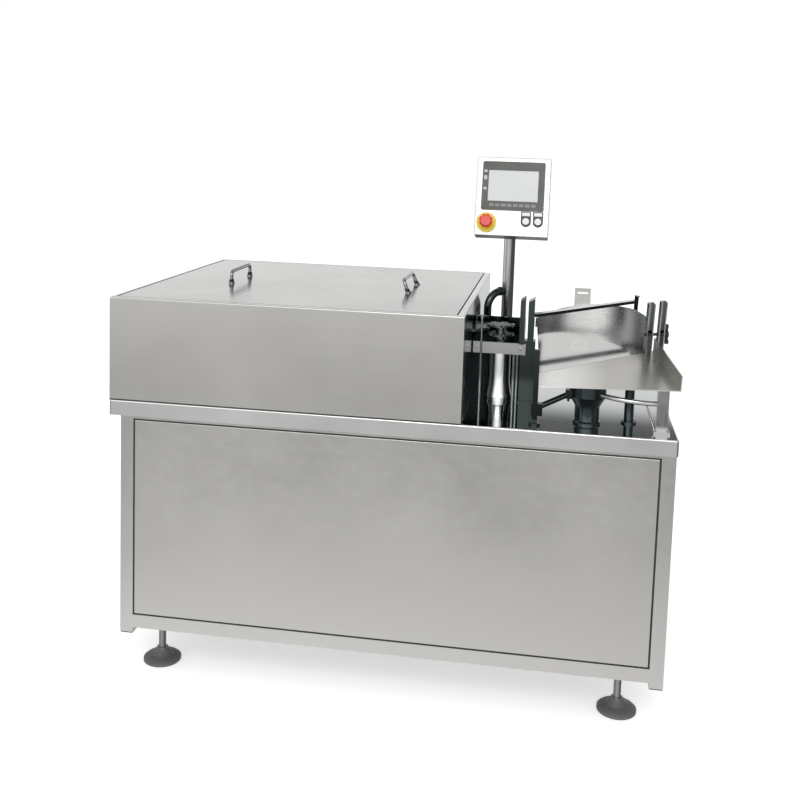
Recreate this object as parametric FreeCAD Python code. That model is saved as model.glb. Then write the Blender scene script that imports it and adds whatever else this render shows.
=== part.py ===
import FreeCAD, Part
import math
import os

# Infeed, washing table and control stand of a small vial washing machine.
# Millimetres, +Z up, +X to the right of the operator, +Y away from the operator.
# The origin is on the floor under the centre of the table top.

Vec = FreeCAD.Vector
Z_AXIS = Vec(0, 0, 1)

# Table and cabinet
TABLE_LENGTH = 1500.0
TABLE_DEPTH = 1000.0
TABLE_HEIGHT = 765.0
TABLE_SHEET = 3.0
TABLE_RIM = 42.0
TABLE_EDGE_RADIUS = 4.0
TABLE_CORNER_RADIUS = 7.0
FRAME_LEFT = -719.0
FRAME_RIGHT = 747.0
FRAME_FRONT = -492.0
FRAME_BACK = 492.0
FRAME_TUBE = 36.0
FRAME_WALL = 2.5
LEG_BOTTOM = 110.0
RAIL_BOTTOM = 124.0
FLOOR_TOP = 141.0
LOWER_RAIL_TOP = 161.0
UPPER_RAIL_BOTTOM = 715.0
PANEL_GAP = 4.0
PANEL_SHEET = 2.0
PANEL_RETURN = 18.0
PANEL_EDGE_RADIUS = 1.8
FRONT_PANEL_PROUD = 0.5
UNDER_TABLE = TABLE_HEIGHT - TABLE_SHEET

# Levelling feet
FOOT_X = (-626.0, 639.0)
FOOT_Y = (-415.0, 415.0)
FOOT_PAD_RADIUS = 52.0
FOOT_PAD_RIM = 9.0
FOOT_PAD_HEIGHT = 38.0
FOOT_NECK_RADIUS = 15.0
FOOT_STEM_RADIUS = 10.0
FOOT_STEM_TOP = 150.0
FOOT_HOLE_CLEARANCE = 0.05
LOCK_NUT_RADIUS = 17.0
LOCK_NUT_HEIGHT = 10.0
LEG_PLUG_PROUD = 3.0
LEG_PLUG_INSERT = 14.0

# Cover over the washing turret
COVER_LEFT = -749.0
COVER_RIGHT = 204.0
COVER_FRONT = -498.5
COVER_BACK = 430.0
COVER_HEIGHT = 281.0
COVER_SHEET = 2.0
COVER_EDGE_RADIUS = 4.0
COVER_TOP = TABLE_HEIGHT + COVER_HEIGHT
LID_LEFT = -733.0
LID_RIGHT = 182.0
LID_FRONT = -480.0
LID_BACK = 408.0
LID_GAP = 4.0
LID_SHEET = 2.0
LID_RETURN = 22.0
LID_EDGE_RADIUS = 1.5
LEDGE_WIDTH = 16.0
HANDLE_LENGTH = 180.0
HANDLE_HEIGHT = 36.0
HANDLE_WIRE_RADIUS = 5.0
HANDLE_BEND = 14.0
HANDLE_BUSH_RADIUS = 9.0
HANDLE_BUSH_HEIGHT = 4.0
HANDLE_FEET_X = (-527.0, 6.0)
HANDLE_TOPS_X = (-527.0, -9.0)
HANDLE_Y_FRONT = -143.0
WINDOW_FRONT = -250.0
WINDOW_BACK = -84.0
WINDOW_LOW = 935.0
WINDOW_HIGH = 992.0

# Washing turret, transfer wheel and star wheel: one pocket pitch all through
POCKET_RADIUS = 8.5
GEAR_MODULE = 6.0
TURRET_TEETH = 132
TRANSFER_TEETH = 24
STAR_TEETH = 12
TURRET_POCKETS = 66
TRANSFER_POCKETS = 12
STAR_POCKETS = 6
TURRET_PITCH = GEAR_MODULE * TURRET_TEETH / 2
TRANSFER_PITCH = GEAR_MODULE * TRANSFER_TEETH / 2
STAR_PITCH = GEAR_MODULE * STAR_TEETH / 2
STAR_X = 280.0
STAR_Y = -190.0
TRAIN_ANGLE = 164.6
GEAR_BOTTOM = 700.0
GEAR_THICKNESS = 16.0
GEAR_ADDENDUM = 0.8
GEAR_DEDENDUM = 1.15
GEAR_PRESSURE_ANGLE = 20.0
GEAR_BACKLASH = 1.2
RUNNING_GAP = 0.05
WHEEL_LOW = 947.0
WHEEL_HIGH = 973.0
WHEEL_PLATE = 6.0
TRANSFER_PLATE_LOW = 959.0
TRANSFER_PLATE = 8.0
WHEEL_LIP = 3.0
TURRET_SHAFT_RADIUS = 30.0
TRANSFER_SHAFT_RADIUS = 12.0
STAR_SHAFT_RADIUS = 8.0
BOSS_HEIGHT = 40.0
COLUMN_HEIGHT = 150.0
COLUMN_RADIUS = 31.0
COLUMN_BASE_RADIUS = 39.0
COLUMN_FLARE_HEIGHT = 66.0
COLUMN_BASE_RIM = 10.0

# Guards round the star wheel
GUIDE_BAR_Y = -234.0
GUIDE_BAR_LOW = 902.0
GUIDE_BAR_HIGH = 934.0
GUIDE_BAR_GAP = 3.0
PRONG_BOTTOM = 936.0
GUIDE_BAR_SHEET = 3.0
GUIDE_BAR_FLANGE = 9.0
GUIDE_BAR_END = 353.0
GUIDE_ROD_RADIUS = 3.5
GUIDE_ROD_X = (321.5, 331.0)
TALL_ROD_X = 229.5
TALL_ROD_TOP = 1003.0
POST_COLUMN = (338.0, 379.0, -224.0, -188.0)
POST_COLUMN_TOP = 941.0
POST_FOOT = (336.0, 383.0, -226.0, -182.0)
PRONG_FRONT = -258.0
PRONG_DEPTH = 54.0
PRONGS = ((335.0, 349.0, 1057.0, 1066.0), (357.0, 374.0, 1054.0, 1065.0))
BACK_GUARD_Y = -78.0
BACK_GUARD_END = 346.0
BACK_GUARD_TOP = 980.0

# Tilted infeed hopper: local u runs right, v up the slope, w square to the deck
HOPPER_ORIGIN = Vec(524.0, -388.0, 906.0)
HOPPER_YAW = 3.4
HOPPER_TILT = 14.0
HOPPER_SHEET = 3.0
HOPPER_LEFT = -129.0
HOPPER_FRONT_LEFT_V = -107.0
HOPPER_FRONT_RIGHT = (219.5, -92.0)
JOINT_LEFT_V = -34.0
JOINT_RIGHT_U = 180.0
JOINT_RIGHT_V = 134.0
JOINT_GAP = 0.8
FLANGE_HEIGHT = 40.0
GUARD_CENTRE_U = 4.0
GUARD_CENTRE_V = 157.0
GUARD_RADIUS = 168.0
GUARD_SHEET = 3.0
GUARD_START = -7.0
GUARD_END = 144.0
GUARD_HEIGHT_MID = 46.0
GUARD_HEIGHT_SLOPE = 0.14
RAIL_LEFT = (-142.0, 167.0)
RAIL_RIGHT = (151.0, 302.0)
RAIL_TOP = 80.0
RAIL_DEPTH = 9.0
RAIL_WIDTH = 12.0
RAIL_POST = 6.0
RAIL_POST_ABOVE = 13.0
POST_ALONG = (205.0, 223.0)
POST_INNER = (-30.0, -12.0)
POST_OUTER = (3.0, 20.0)
POST_INNER_TOP = 147.0
POST_OUTER_TOP = 151.0
KNOB_W = 58.0
KNOB_ALONG = 212.0
STUD_RADIUS = 4.0
PEDESTAL_RADIUS = 32.0
PEDESTAL_HEAD_RADIUS = 48.0
PEDESTAL_NECK_Z = 810.0
PEDESTAL_HEAD_Z = 838.0
BRACE_LEFT = (383.0, 396.5, -449.0, -436.0)
BRACE_RIGHT = (697.0, 726.0, -442.0, -418.0)
BRACE_TOP = 962.0
ARM_RADIUS = 7.5
ARM_START = Vec(400.0, -441.0, 812.0)
ARM_MIDDLE = Vec(475.0, -407.0, 843.0)
ARM_END = Vec(524.0, -388.0, 846.0)
RING_RADIUS = 6.5
RING_END = Vec(714.0, -429.0, 838.0)
RING_MIDDLE = Vec(630.0, -443.0, 843.0)
BACK_COLUMN = (633.5, -358.0)
BACK_COLUMN_RADIUS = 12.5

# Control panel on its pole
POLE_X = 278.0
POLE_Y = 150.0
POLE_RADIUS = 18.0
POLE_WALL = 2.0
POLE_TOP = 1290.0
COLLAR_RADIUS = 26.0
COLLAR_LOW = 1236.0
COLLAR_HIGH = 1284.0
PANEL_X = 286.0
PANEL_FRONT_Y = 50.0
PANEL_MID_Z = 1327.0
PANEL_WIDTH = 221.0
PANEL_HEIGHT = 240.0
PANEL_DEPTH = 60.0
PANEL_TILT = 15.0
PIN_Y = 112.0
PIN_Z = 1260.0
PIN_RADIUS = 5.0
BEZEL_WIDTH = 188.0
BEZEL_HEIGHT = 150.0
BEZEL_UP = 32.0
BEZEL_THICKNESS = 4.0
SCREEN_WIDTH = 150.0
SCREEN_HEIGHT = 95.0
ESTOP_U = -75.0
ESTOP_V = -82.0
BUTTON_U = (43.0, 79.0)
BUTTON_V = -76.0
CONDUIT_X = 221.0
CONDUIT_Y = 100.0
CONDUIT_HIGH = 1026.0
CONDUIT_RADIUS = 12.0
CONDUIT_BEND = 50.0
ESTOP_TRAVEL = 6.0

# Water side and drive inside the cabinet
TANK_SIDES = (-670.0, -430.0, 60.0, 385.0)
TANK_TOP = 430.0
PUMP_X = -560.0
PUMP_Y = -147.0
FILTER_X = (20.0, 130.0, 240.0)
FILTER_Y = -330.0
FILTER_TOP = 433.0


def box(x0, x1, y0, y1, z0, z1):
    return Part.makeBox(x1 - x0, y1 - y0, z1 - z0, Vec(x0, y0, z0))


def rod(start, end, radius):
    run = end.sub(start)
    return Part.makeCylinder(radius, run.Length, start, run)


def upright(x, y, z0, z1, radius):
    return Part.makeCylinder(radius, z1 - z0, Vec(x, y, z0), Z_AXIS)


def prism(points, z0, z1):
    corners = [Vec(x, y, z0) for x, y in points]
    face = Part.Face(Part.makePolygon(corners + [corners[0]]))
    return face.extrude(Vec(0, 0, z1 - z0))


def lathe(profile, x, y):
    corners = [Vec(r, 0, z) for r, z in profile]
    face = Part.Face(Part.makePolygon(corners + [corners[0]]))
    solid = face.revolve(Vec(0, 0, 0), Z_AXIS, 360)
    solid.translate(Vec(x, y, 0))
    return solid


def swept_rod(points, radius, bend):
    """A round bar along straight runs joined by arcs of one bend radius."""
    edges = []
    last = points[0]
    for before, corner, after in zip(points, points[1:], points[2:]):
        into = before.sub(corner).normalize()
        out = after.sub(corner).normalize()
        angle = into.getAngle(out)
        back = bend / math.tan(angle / 2)
        start = corner.add(into.multiply(back))
        end = corner.add(out.multiply(back))
        middle = start.add(end).multiply(0.5)
        inward = middle.sub(corner).normalize()
        centre = corner.add(Vec(inward).multiply(bend / math.sin(angle / 2)))
        top = centre.sub(Vec(inward).multiply(bend))
        edges.append(Part.makeLine(last, start))
        edges.append(Part.Arc(start, top, end).toShape())
        last = end
    edges.append(Part.makeLine(last, points[-1]))
    path = Part.Wire(edges)
    heading = points[1].sub(points[0])
    ring = Part.Wire(Part.makeCircle(radius, points[0], heading))
    return path.makePipeShell([ring], True, False)


def fuse(shapes):
    return shapes[0].fuse(list(shapes[1:])).removeSplitter()


def group(shapes):
    return Part.makeCompound(shapes)


def hexagon_prism(x, y, z0, z1, radius):
    points = []
    for step in range(6):
        angle = math.radians(60 * step)
        points.append((x + radius * math.cos(angle), y + radius * math.sin(angle)))
    return prism(points, z0, z1)


def in_hopper(shape):
    turn = FreeCAD.Rotation(Z_AXIS, HOPPER_YAW).multiply(FreeCAD.Rotation(Vec(1, 0, 0), HOPPER_TILT))
    placed = shape.copy()
    placed.Placement = FreeCAD.Placement(HOPPER_ORIGIN, turn).multiply(placed.Placement)
    return placed


def hopper_point(u, v, w):
    turn = FreeCAD.Rotation(Z_AXIS, HOPPER_YAW).multiply(FreeCAD.Rotation(Vec(1, 0, 0), HOPPER_TILT))
    return HOPPER_ORIGIN.add(turn.multVec(Vec(u, v, w)))


def space_above_deck():
    return in_hopper(box(-900, 900, -900, 900, -HOPPER_SHEET, 900))


def in_panel(shape):
    """Local x right, y back, z up on the tilted control box; the origin is mid front face."""
    placed = shape.copy()
    turn = FreeCAD.Rotation(Vec(1, 0, 0), -PANEL_TILT)
    place = FreeCAD.Placement(Vec(PANEL_X, PANEL_FRONT_Y, PANEL_MID_Z), turn)
    placed.Placement = place.multiply(placed.Placement)
    return placed


def panel_button(u, v, y0, y1, radius):
    return Part.makeCylinder(radius, y1 - y0, Vec(u, y0, v), Vec(0, 1, 0))


# ---- cabinet ----

def channel_x(y_outer, y_inner, z0, z1):
    """A rail along X, open on its inner side."""
    x0 = FRAME_LEFT + FRAME_TUBE
    x1 = FRAME_RIGHT - FRAME_TUBE
    low_y, high_y = min(y_outer, y_inner), max(y_outer, y_inner)
    outer = box(x0, x1, low_y, high_y, z0, z1)
    inward = FRAME_WALL if y_outer < y_inner else -FRAME_WALL
    hollow_low = low_y + inward if inward > 0 else low_y - 1
    hollow_high = high_y + 1 if inward > 0 else high_y + inward
    return outer.cut(box(x0 - 1, x1 + 1, hollow_low, hollow_high, z0 + FRAME_WALL, z1 - FRAME_WALL))


def channel_y(x_outer, x_inner, z0, z1):
    """A rail along Y, open on its inner side."""
    y0 = FRAME_FRONT + FRAME_TUBE
    y1 = FRAME_BACK - FRAME_TUBE
    low_x, high_x = min(x_outer, x_inner), max(x_outer, x_inner)
    outer = box(low_x, high_x, y0, y1, z0, z1)
    hollow_low = low_x + FRAME_WALL if x_outer < x_inner else low_x - 1
    hollow_high = high_x + 1 if x_outer < x_inner else high_x - FRAME_WALL
    return outer.cut(box(hollow_low, hollow_high, y0 - 1, y1 + 1, z0 + FRAME_WALL, z1 - FRAME_WALL))


def base_frame():
    solids = []
    for x0 in (FRAME_LEFT, FRAME_RIGHT - FRAME_TUBE):
        for y0 in (FRAME_FRONT, FRAME_BACK - FRAME_TUBE):
            tube = box(x0, x0 + FRAME_TUBE, y0, y0 + FRAME_TUBE, LEG_BOTTOM, UNDER_TABLE)
            w = FRAME_WALL
            hole = box(x0 + w, x0 + FRAME_TUBE - w, y0 + w, y0 + FRAME_TUBE - w, LEG_BOTTOM - 1, UNDER_TABLE - w)
            solids.append(tube.cut(hole))
    for z0, z1 in ((RAIL_BOTTOM, LOWER_RAIL_TOP), (UPPER_RAIL_BOTTOM, UNDER_TABLE)):
        solids.append(channel_x(FRAME_FRONT, FRAME_FRONT + FRAME_TUBE, z0, z1))
        solids.append(channel_x(FRAME_BACK, FRAME_BACK - FRAME_TUBE, z0, z1))
        solids.append(channel_y(FRAME_LEFT, FRAME_LEFT + FRAME_TUBE, z0, z1))
        solids.append(channel_y(FRAME_RIGHT, FRAME_RIGHT - FRAME_TUBE, z0, z1))
    solids += [foot_plate(x, y) for x in FOOT_X for y in FOOT_Y]
    frame = fuse(solids)
    for x in FOOT_X:
        for y in FOOT_Y:
            hole = FOOT_STEM_RADIUS + FOOT_HOLE_CLEARANCE
            frame = frame.cut(upright(x, y, RAIL_BOTTOM - 1, FOOT_STEM_TOP + 5, hole))
    return frame


def foot_plate(x, y):
    """The threaded plate a levelling foot screws into, welded inside the lower rails."""
    reach = FRAME_FRONT + FRAME_WALL if y < 0 else FRAME_BACK - FRAME_WALL
    low, high = min(reach, y - 26 if y > 0 else y + 26), max(reach, y + 26 if y < 0 else y - 26)
    return box(x - 30, x + 30, low, high, RAIL_BOTTOM, RAIL_BOTTOM + 14)


def framed_panel(width_axis, low, high, outer, inner_step):
    """A sheet panel between the rails, its edges turned inward."""
    z0 = LOWER_RAIL_TOP + PANEL_GAP
    z1 = UPPER_RAIL_BOTTOM - PANEL_GAP
    depth = PANEL_RETURN * inner_step
    lo, hi = min(outer, outer + depth), max(outer, outer + depth)
    s = PANEL_SHEET
    if width_axis == "x":
        shell = box(low, high, lo, hi, z0, z1)
        hollow_lo = lo + s if inner_step > 0 else lo - 1
        hollow_hi = hi + 1 if inner_step > 0 else hi - s
        return shell.cut(box(low + s, high - s, hollow_lo, hollow_hi, z0 + s, z1 - s))
    shell = box(lo, hi, low, high, z0, z1)
    hollow_lo = lo + s if inner_step > 0 else lo - 1
    hollow_hi = hi + 1 if inner_step > 0 else hi - s
    return shell.cut(box(hollow_lo, hollow_hi, low + s, high - s, z0 + s, z1 - s))


def front_panel():
    """Lift-out service panel with its catches."""
    low = FRAME_LEFT + FRAME_TUBE + PANEL_GAP
    high = FRAME_RIGHT - FRAME_TUBE - PANEL_GAP
    face_y = FRAME_FRONT - FRONT_PANEL_PROUD
    panel = framed_panel("x", low, high, face_y, 1)
    rim = [e for e in panel.Edges if e.BoundBox.YMax < face_y + 0.01]
    panel = panel.makeFillet(PANEL_EDGE_RADIUS, rim)
    return fuse([panel] + panel_locks(low, high, FRAME_FRONT, 1))


def panel_locks(panel_low, panel_high, y_outer, step):
    """Four push-fit catches that hold a panel to its rails."""
    catches = []
    gaps = ((LOWER_RAIL_TOP, LOWER_RAIL_TOP + PANEL_GAP), (UPPER_RAIL_BOTTOM - PANEL_GAP, UPPER_RAIL_BOTTOM))
    for x in (panel_low + 60, panel_high - 60):
        for z0, z1 in gaps:
            lo = min(y_outer + step * 6, y_outer + step * 16)
            catches.append(box(x - 15, x + 15, lo, lo + 10, z0, z1))
    return catches


def back_panel():
    low = FRAME_LEFT + FRAME_TUBE + PANEL_GAP
    high = FRAME_RIGHT - FRAME_TUBE - PANEL_GAP
    panel = framed_panel("x", low, high, FRAME_BACK, -1)
    for x in (-300.0, 300.0):
        for row in range(6):
            z = 560.0 + 18.0 * row
            panel = panel.cut(box(x - 80, x + 80, FRAME_BACK - 5, FRAME_BACK + 5, z, z + 5))
    return fuse([panel] + panel_locks(low, high, FRAME_BACK, -1))


def side_panels():
    low = FRAME_FRONT + FRAME_TUBE
    high = FRAME_BACK - FRAME_TUBE
    left = framed_panel("y", low, high, FRAME_LEFT, 1)
    right = framed_panel("y", low, high, FRAME_RIGHT, -1)
    return group([left, right])


def floor_pan():
    inset = FRAME_TUBE
    tray = box(FRAME_LEFT + inset, FRAME_RIGHT - inset, FRAME_FRONT + inset, FRAME_BACK - inset,
               RAIL_BOTTOM + 14, FLOOR_TOP)
    for x in FOOT_X:
        for y in FOOT_Y:
            tray = tray.cut(upright(x, y, 0, 400, FOOT_STEM_RADIUS + 4))
    return fuse([tray, drive_stand()])


def table_pan():
    half_l = TABLE_LENGTH / 2
    half_d = TABLE_DEPTH / 2
    low = TABLE_HEIGHT - TABLE_RIM
    outer = box(-half_l, half_l, -half_d, half_d, low, TABLE_HEIGHT)
    corners = [e for e in outer.Edges if abs(e.Vertexes[0].Z - e.Vertexes[1].Z) > 1]
    outer = outer.makeFillet(TABLE_CORNER_RADIUS, corners)
    rims = [e for e in outer.Edges if e.BoundBox.ZMin > TABLE_HEIGHT - 0.01]
    outer = outer.makeFillet(TABLE_EDGE_RADIUS, rims)
    s = TABLE_SHEET
    pan = outer.cut(box(-half_l + s, half_l - s, -half_d + s, half_d - s, low - 1, UNDER_TABLE))
    lip = box(-half_l + 1, half_l - 1, -half_d + 1, half_d - 1, low, low + 2)
    lip = lip.cut(box(FRAME_LEFT - 1, FRAME_RIGHT + 0.5, FRAME_FRONT - 1, FRAME_BACK + 1, low - 1, low + 3))
    pan = fuse([pan, lip.common(outer)] + table_bosses())
    for x, y, radius in table_shaft_holes():
        pan = pan.cut(upright(x, y, TABLE_HEIGHT - 60, TABLE_HEIGHT + 5, radius))
    return pan.cut(upright(-600.0, 330.0, TABLE_HEIGHT - 10, TABLE_HEIGHT + 5, 20.0))


def turret_centre():
    reach = TURRET_PITCH + 2 * TRANSFER_PITCH + STAR_PITCH
    angle = math.radians(TRAIN_ANGLE)
    return STAR_X + reach * math.cos(angle), STAR_Y + reach * math.sin(angle)


def transfer_centre():
    reach = TRANSFER_PITCH + STAR_PITCH
    angle = math.radians(TRAIN_ANGLE)
    return STAR_X + reach * math.cos(angle), STAR_Y + reach * math.sin(angle)


def table_shaft_holes():
    tx, ty = turret_centre()
    fx, fy = transfer_centre()
    return [(tx, ty, TURRET_SHAFT_RADIUS + RUNNING_GAP),
            (fx, fy, TRANSFER_SHAFT_RADIUS + RUNNING_GAP),
            (STAR_X, STAR_Y, STAR_SHAFT_RADIUS + RUNNING_GAP)]


def table_bosses():
    bosses = []
    for (x, y, hole), wall in zip(table_shaft_holes(), (35.0, 16.0, 14.0)):
        bosses.append(upright(x, y, UNDER_TABLE - BOSS_HEIGHT, UNDER_TABLE, hole + wall))
    return bosses


# ---- levelling feet ----

def levelling_foot(x, y):
    pad = [(0, 0), (FOOT_PAD_RADIUS - 2, 0), (FOOT_PAD_RADIUS, 2), (FOOT_PAD_RADIUS, FOOT_PAD_RIM)]
    pad += [(FOOT_PAD_RADIUS - 6, FOOT_PAD_RIM + 5), (FOOT_PAD_RADIUS - 22, FOOT_PAD_RIM + 11)]
    pad += [(FOOT_NECK_RADIUS + 7, FOOT_PAD_HEIGHT - 10), (FOOT_NECK_RADIUS, FOOT_PAD_HEIGHT)]
    pad += [(FOOT_STEM_RADIUS, FOOT_PAD_HEIGHT), (FOOT_STEM_RADIUS, FOOT_STEM_TOP), (0, FOOT_STEM_TOP)]
    return lathe(pad, x, y)


def lock_nuts():
    nuts = []
    for x in FOOT_X:
        for y in FOOT_Y:
            low = RAIL_BOTTOM - LOCK_NUT_HEIGHT
            nut = hexagon_prism(x, y, low, RAIL_BOTTOM, LOCK_NUT_RADIUS)
            hole = FOOT_STEM_RADIUS + FOOT_HOLE_CLEARANCE
            nuts.append(nut.cut(upright(x, y, low - 1, RAIL_BOTTOM + 1, hole)))
    return group(nuts)


def leg_plugs():
    """Plastic end plugs in the open bottoms of the four leg tubes."""
    plugs = []
    w = FRAME_WALL
    for x0 in (FRAME_LEFT, FRAME_RIGHT - FRAME_TUBE):
        for y0 in (FRAME_FRONT, FRAME_BACK - FRAME_TUBE):
            x1, y1 = x0 + FRAME_TUBE, y0 + FRAME_TUBE
            cap = box(x0 + 1, x1 - 1, y0 + 1, y1 - 1, LEG_BOTTOM - LEG_PLUG_PROUD, LEG_BOTTOM)
            insert = box(x0 + w, x1 - w, y0 + w, y1 - w, LEG_BOTTOM, LEG_BOTTOM + LEG_PLUG_INSERT)
            plugs.append(fuse([cap, insert]))
    return group(plugs)


# ---- cover and lid ----

def cover_box():
    s = COVER_SHEET
    shell = box(COVER_LEFT, COVER_RIGHT, COVER_FRONT, COVER_BACK, TABLE_HEIGHT, COVER_TOP)
    edges = [e for e in shell.Edges if e.BoundBox.ZMin > COVER_TOP - 0.01]
    shell = shell.makeFillet(COVER_EDGE_RADIUS, edges)
    hollow = box(COVER_LEFT + s, COVER_RIGHT - s, COVER_FRONT + s, COVER_BACK - s, TABLE_HEIGHT - 1, COVER_TOP - s)
    shell = shell.cut(hollow)
    x0, x1 = LID_LEFT - LID_GAP, LID_RIGHT + LID_GAP
    y0, y1 = LID_FRONT - LID_GAP, LID_BACK + LID_GAP
    depth = LID_RETURN + s
    lip = box(x0 - s, x1 + s, y0 - s, y1 + s, COVER_TOP - depth, COVER_TOP - s)
    shell = shell.fuse(lip)
    shell = shell.cut(box(x0, x1, y0, y1, COVER_TOP - LID_RETURN, COVER_TOP + 1))
    in_x, in_y = LEDGE_WIDTH, LEDGE_WIDTH
    shell = shell.cut(box(x0 + in_x, x1 - in_x, y0 + in_y, y1 - in_y, COVER_TOP - depth - 1, COVER_TOP))
    window = box(COVER_RIGHT - 10, COVER_RIGHT + 10, WINDOW_FRONT, WINDOW_BACK, WINDOW_LOW, WINDOW_HIGH)
    return shell.cut(window).removeSplitter()


def cover_lid():
    s = LID_SHEET
    low = COVER_TOP - LID_RETURN
    tray = box(LID_LEFT, LID_RIGHT, LID_FRONT, LID_BACK, low, COVER_TOP)
    rim = [e for e in tray.Edges if e.BoundBox.ZMin > COVER_TOP - 0.01]
    tray = tray.makeFillet(LID_EDGE_RADIUS, rim)
    return tray.cut(box(LID_LEFT + s, LID_RIGHT - s, LID_FRONT + s, LID_BACK - s, low - 1, COVER_TOP - s))


def lid_handles():
    """Two wire bails; the right one leans to the left."""
    bails = []
    low = COVER_TOP
    top = COVER_TOP + HANDLE_HEIGHT
    below_lid = box(-TABLE_LENGTH, TABLE_LENGTH, -TABLE_DEPTH, TABLE_DEPTH, low - 50, low)
    for foot_x, top_x in zip(HANDLE_FEET_X, HANDLE_TOPS_X):
        y0, y1 = HANDLE_Y_FRONT, HANDLE_Y_FRONT + HANDLE_LENGTH
        lean = (top_x - foot_x) / HANDLE_HEIGHT
        root_x = foot_x - lean * HANDLE_WIRE_RADIUS
        root = low - HANDLE_WIRE_RADIUS
        points = [Vec(root_x, y0, root), Vec(top_x, y0, top), Vec(top_x, y1, top), Vec(root_x, y1, root)]
        bail = swept_rod(points, HANDLE_WIRE_RADIUS, HANDLE_BEND).cut(below_lid)
        bushes = [upright(foot_x, y, low, low + HANDLE_BUSH_HEIGHT, HANDLE_BUSH_RADIUS) for y in (y0, y1)]
        bails.append(fuse([bail] + bushes))
    return group(bails)


# ---- gears and pocket wheels ----

def involute(angle):
    return math.tan(angle) - angle


def gear_outline(teeth, phase, x, y):
    """One closed outline; a tooth is centred on the phase angle in degrees."""
    pitch = GEAR_MODULE * teeth / 2
    pressure = math.radians(GEAR_PRESSURE_ANGLE)
    base = pitch * math.cos(pressure)
    tip = pitch + GEAR_ADDENDUM * GEAR_MODULE
    root = pitch - GEAR_DEDENDUM * GEAR_MODULE
    half = (math.pi * GEAR_MODULE / 2 - GEAR_BACKLASH) / (2 * pitch)
    start = max(base, root)
    radii = [root] if root < base else []
    radii += [start + (tip - start) * step / 3 for step in range(4)]
    flank = []
    for r in radii:
        swing = math.acos(min(1.0, base / max(r, base)))
        flank.append((r, half + involute(pressure) - involute(swing)))
    points = []
    for tooth in range(teeth):
        centre = math.radians(phase) + 2 * math.pi * tooth / teeth
        for r, spread in flank:
            points.append((x + r * math.cos(centre - spread), y + r * math.sin(centre - spread)))
        for r, spread in reversed(flank):
            points.append((x + r * math.cos(centre + spread), y + r * math.sin(centre + spread)))
    return points


def pocket_plate(x, y, pitch, pockets, phase, z0, thickness, bore):
    plate = upright(x, y, z0, z0 + thickness, pitch + WHEEL_LIP)
    cuts = []
    for step in range(pockets):
        angle = math.radians(phase + 360.0 * step / pockets)
        px, py = x + pitch * math.cos(angle), y + pitch * math.sin(angle)
        cuts.append(upright(px, py, z0 - 1, z0 + thickness + 1, POCKET_RADIUS))
    cuts.append(upright(x, y, z0 - 1, z0 + thickness + 1, bore))
    return plate.cut(cuts)


def turret_gear():
    x, y = turret_centre()
    outline = gear_outline(TURRET_TEETH, TRAIN_ANGLE + 180.0, x, y)
    wheel = prism(outline, GEAR_BOTTOM, GEAR_BOTTOM + GEAR_THICKNESS)
    return spoked(wheel, x, y, 70.0, TURRET_PITCH - 34.0, GEAR_BOTTOM, GEAR_THICKNESS)


def spoked(wheel, x, y, hub, rim, z0, thickness):
    window = upright(x, y, z0 - 1, z0 + thickness + 1, rim)
    window = window.cut(upright(x, y, z0 - 2, z0 + thickness + 2, hub))
    spokes = []
    for step in range(6):
        arm = box(x, x + rim + 10, y - 18, y + 18, z0 - 2, z0 + thickness + 2)
        arm.rotate(Vec(x, y, 0), Z_AXIS, 60.0 * step + 30.0)
        spokes.append(arm)
    wheel = wheel.cut(window.cut(spokes))
    return wheel.cut(upright(x, y, z0 - 1, z0 + thickness + 1, TURRET_SHAFT_RADIUS))


def turret_plate():
    x, y = turret_centre()
    towards = TRAIN_ANGLE + 180.0
    plate = pocket_plate(x, y, TURRET_PITCH, TURRET_POCKETS, towards, WHEEL_LOW, WHEEL_PLATE, TURRET_SHAFT_RADIUS)
    plate = spoked(plate, x, y, 80.0, TURRET_PITCH - 70.0, WHEEL_LOW, WHEEL_PLATE)
    sleeve = upright(x, y, WHEEL_LOW - 24, WHEEL_LOW, 60.0)
    sleeve = sleeve.cut(upright(x, y, WHEEL_LOW - 25, WHEEL_LOW + 1, TURRET_SHAFT_RADIUS))
    return fuse([plate, sleeve])


def turret_shaft():
    x, y = turret_centre()
    return upright(x, y, 520.0, WHEEL_LOW + WHEEL_PLATE, TURRET_SHAFT_RADIUS)


def transfer_shaft():
    x, y = transfer_centre()
    outline = gear_outline(TRANSFER_TEETH, TRAIN_ANGLE + 180.0 / TRANSFER_TEETH, x, y)
    gear = prism(outline, GEAR_BOTTOM, GEAR_BOTTOM + GEAR_THICKNESS)
    shaft = upright(x, y, GEAR_BOTTOM, TRANSFER_PLATE_LOW + TRANSFER_PLATE, TRANSFER_SHAFT_RADIUS)
    return fuse([gear, shaft])


def transfer_wheel():
    x, y = transfer_centre()
    plate = pocket_plate(x, y, TRANSFER_PITCH, TRANSFER_POCKETS, TRAIN_ANGLE, TRANSFER_PLATE_LOW,
                         TRANSFER_PLATE, TRANSFER_SHAFT_RADIUS)
    hub = upright(x, y, TRANSFER_PLATE_LOW - 14, TRANSFER_PLATE_LOW, 24.0)
    hub = hub.cut(upright(x, y, TRANSFER_PLATE_LOW - 15, TRANSFER_PLATE_LOW + 1, TRANSFER_SHAFT_RADIUS))
    return fuse([plate, hub])


def transfer_housing():
    x, y = transfer_centre()
    top = TRANSFER_PLATE_LOW - 16
    profile = [(TRANSFER_SHAFT_RADIUS + RUNNING_GAP, TABLE_HEIGHT), (26.0, TABLE_HEIGHT)]
    profile += [(26.0, TABLE_HEIGHT + 8), (20.0, TABLE_HEIGHT + 12), (20.0, top)]
    profile += [(TRANSFER_SHAFT_RADIUS + RUNNING_GAP, top)]
    return lathe(profile, x, y)


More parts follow.
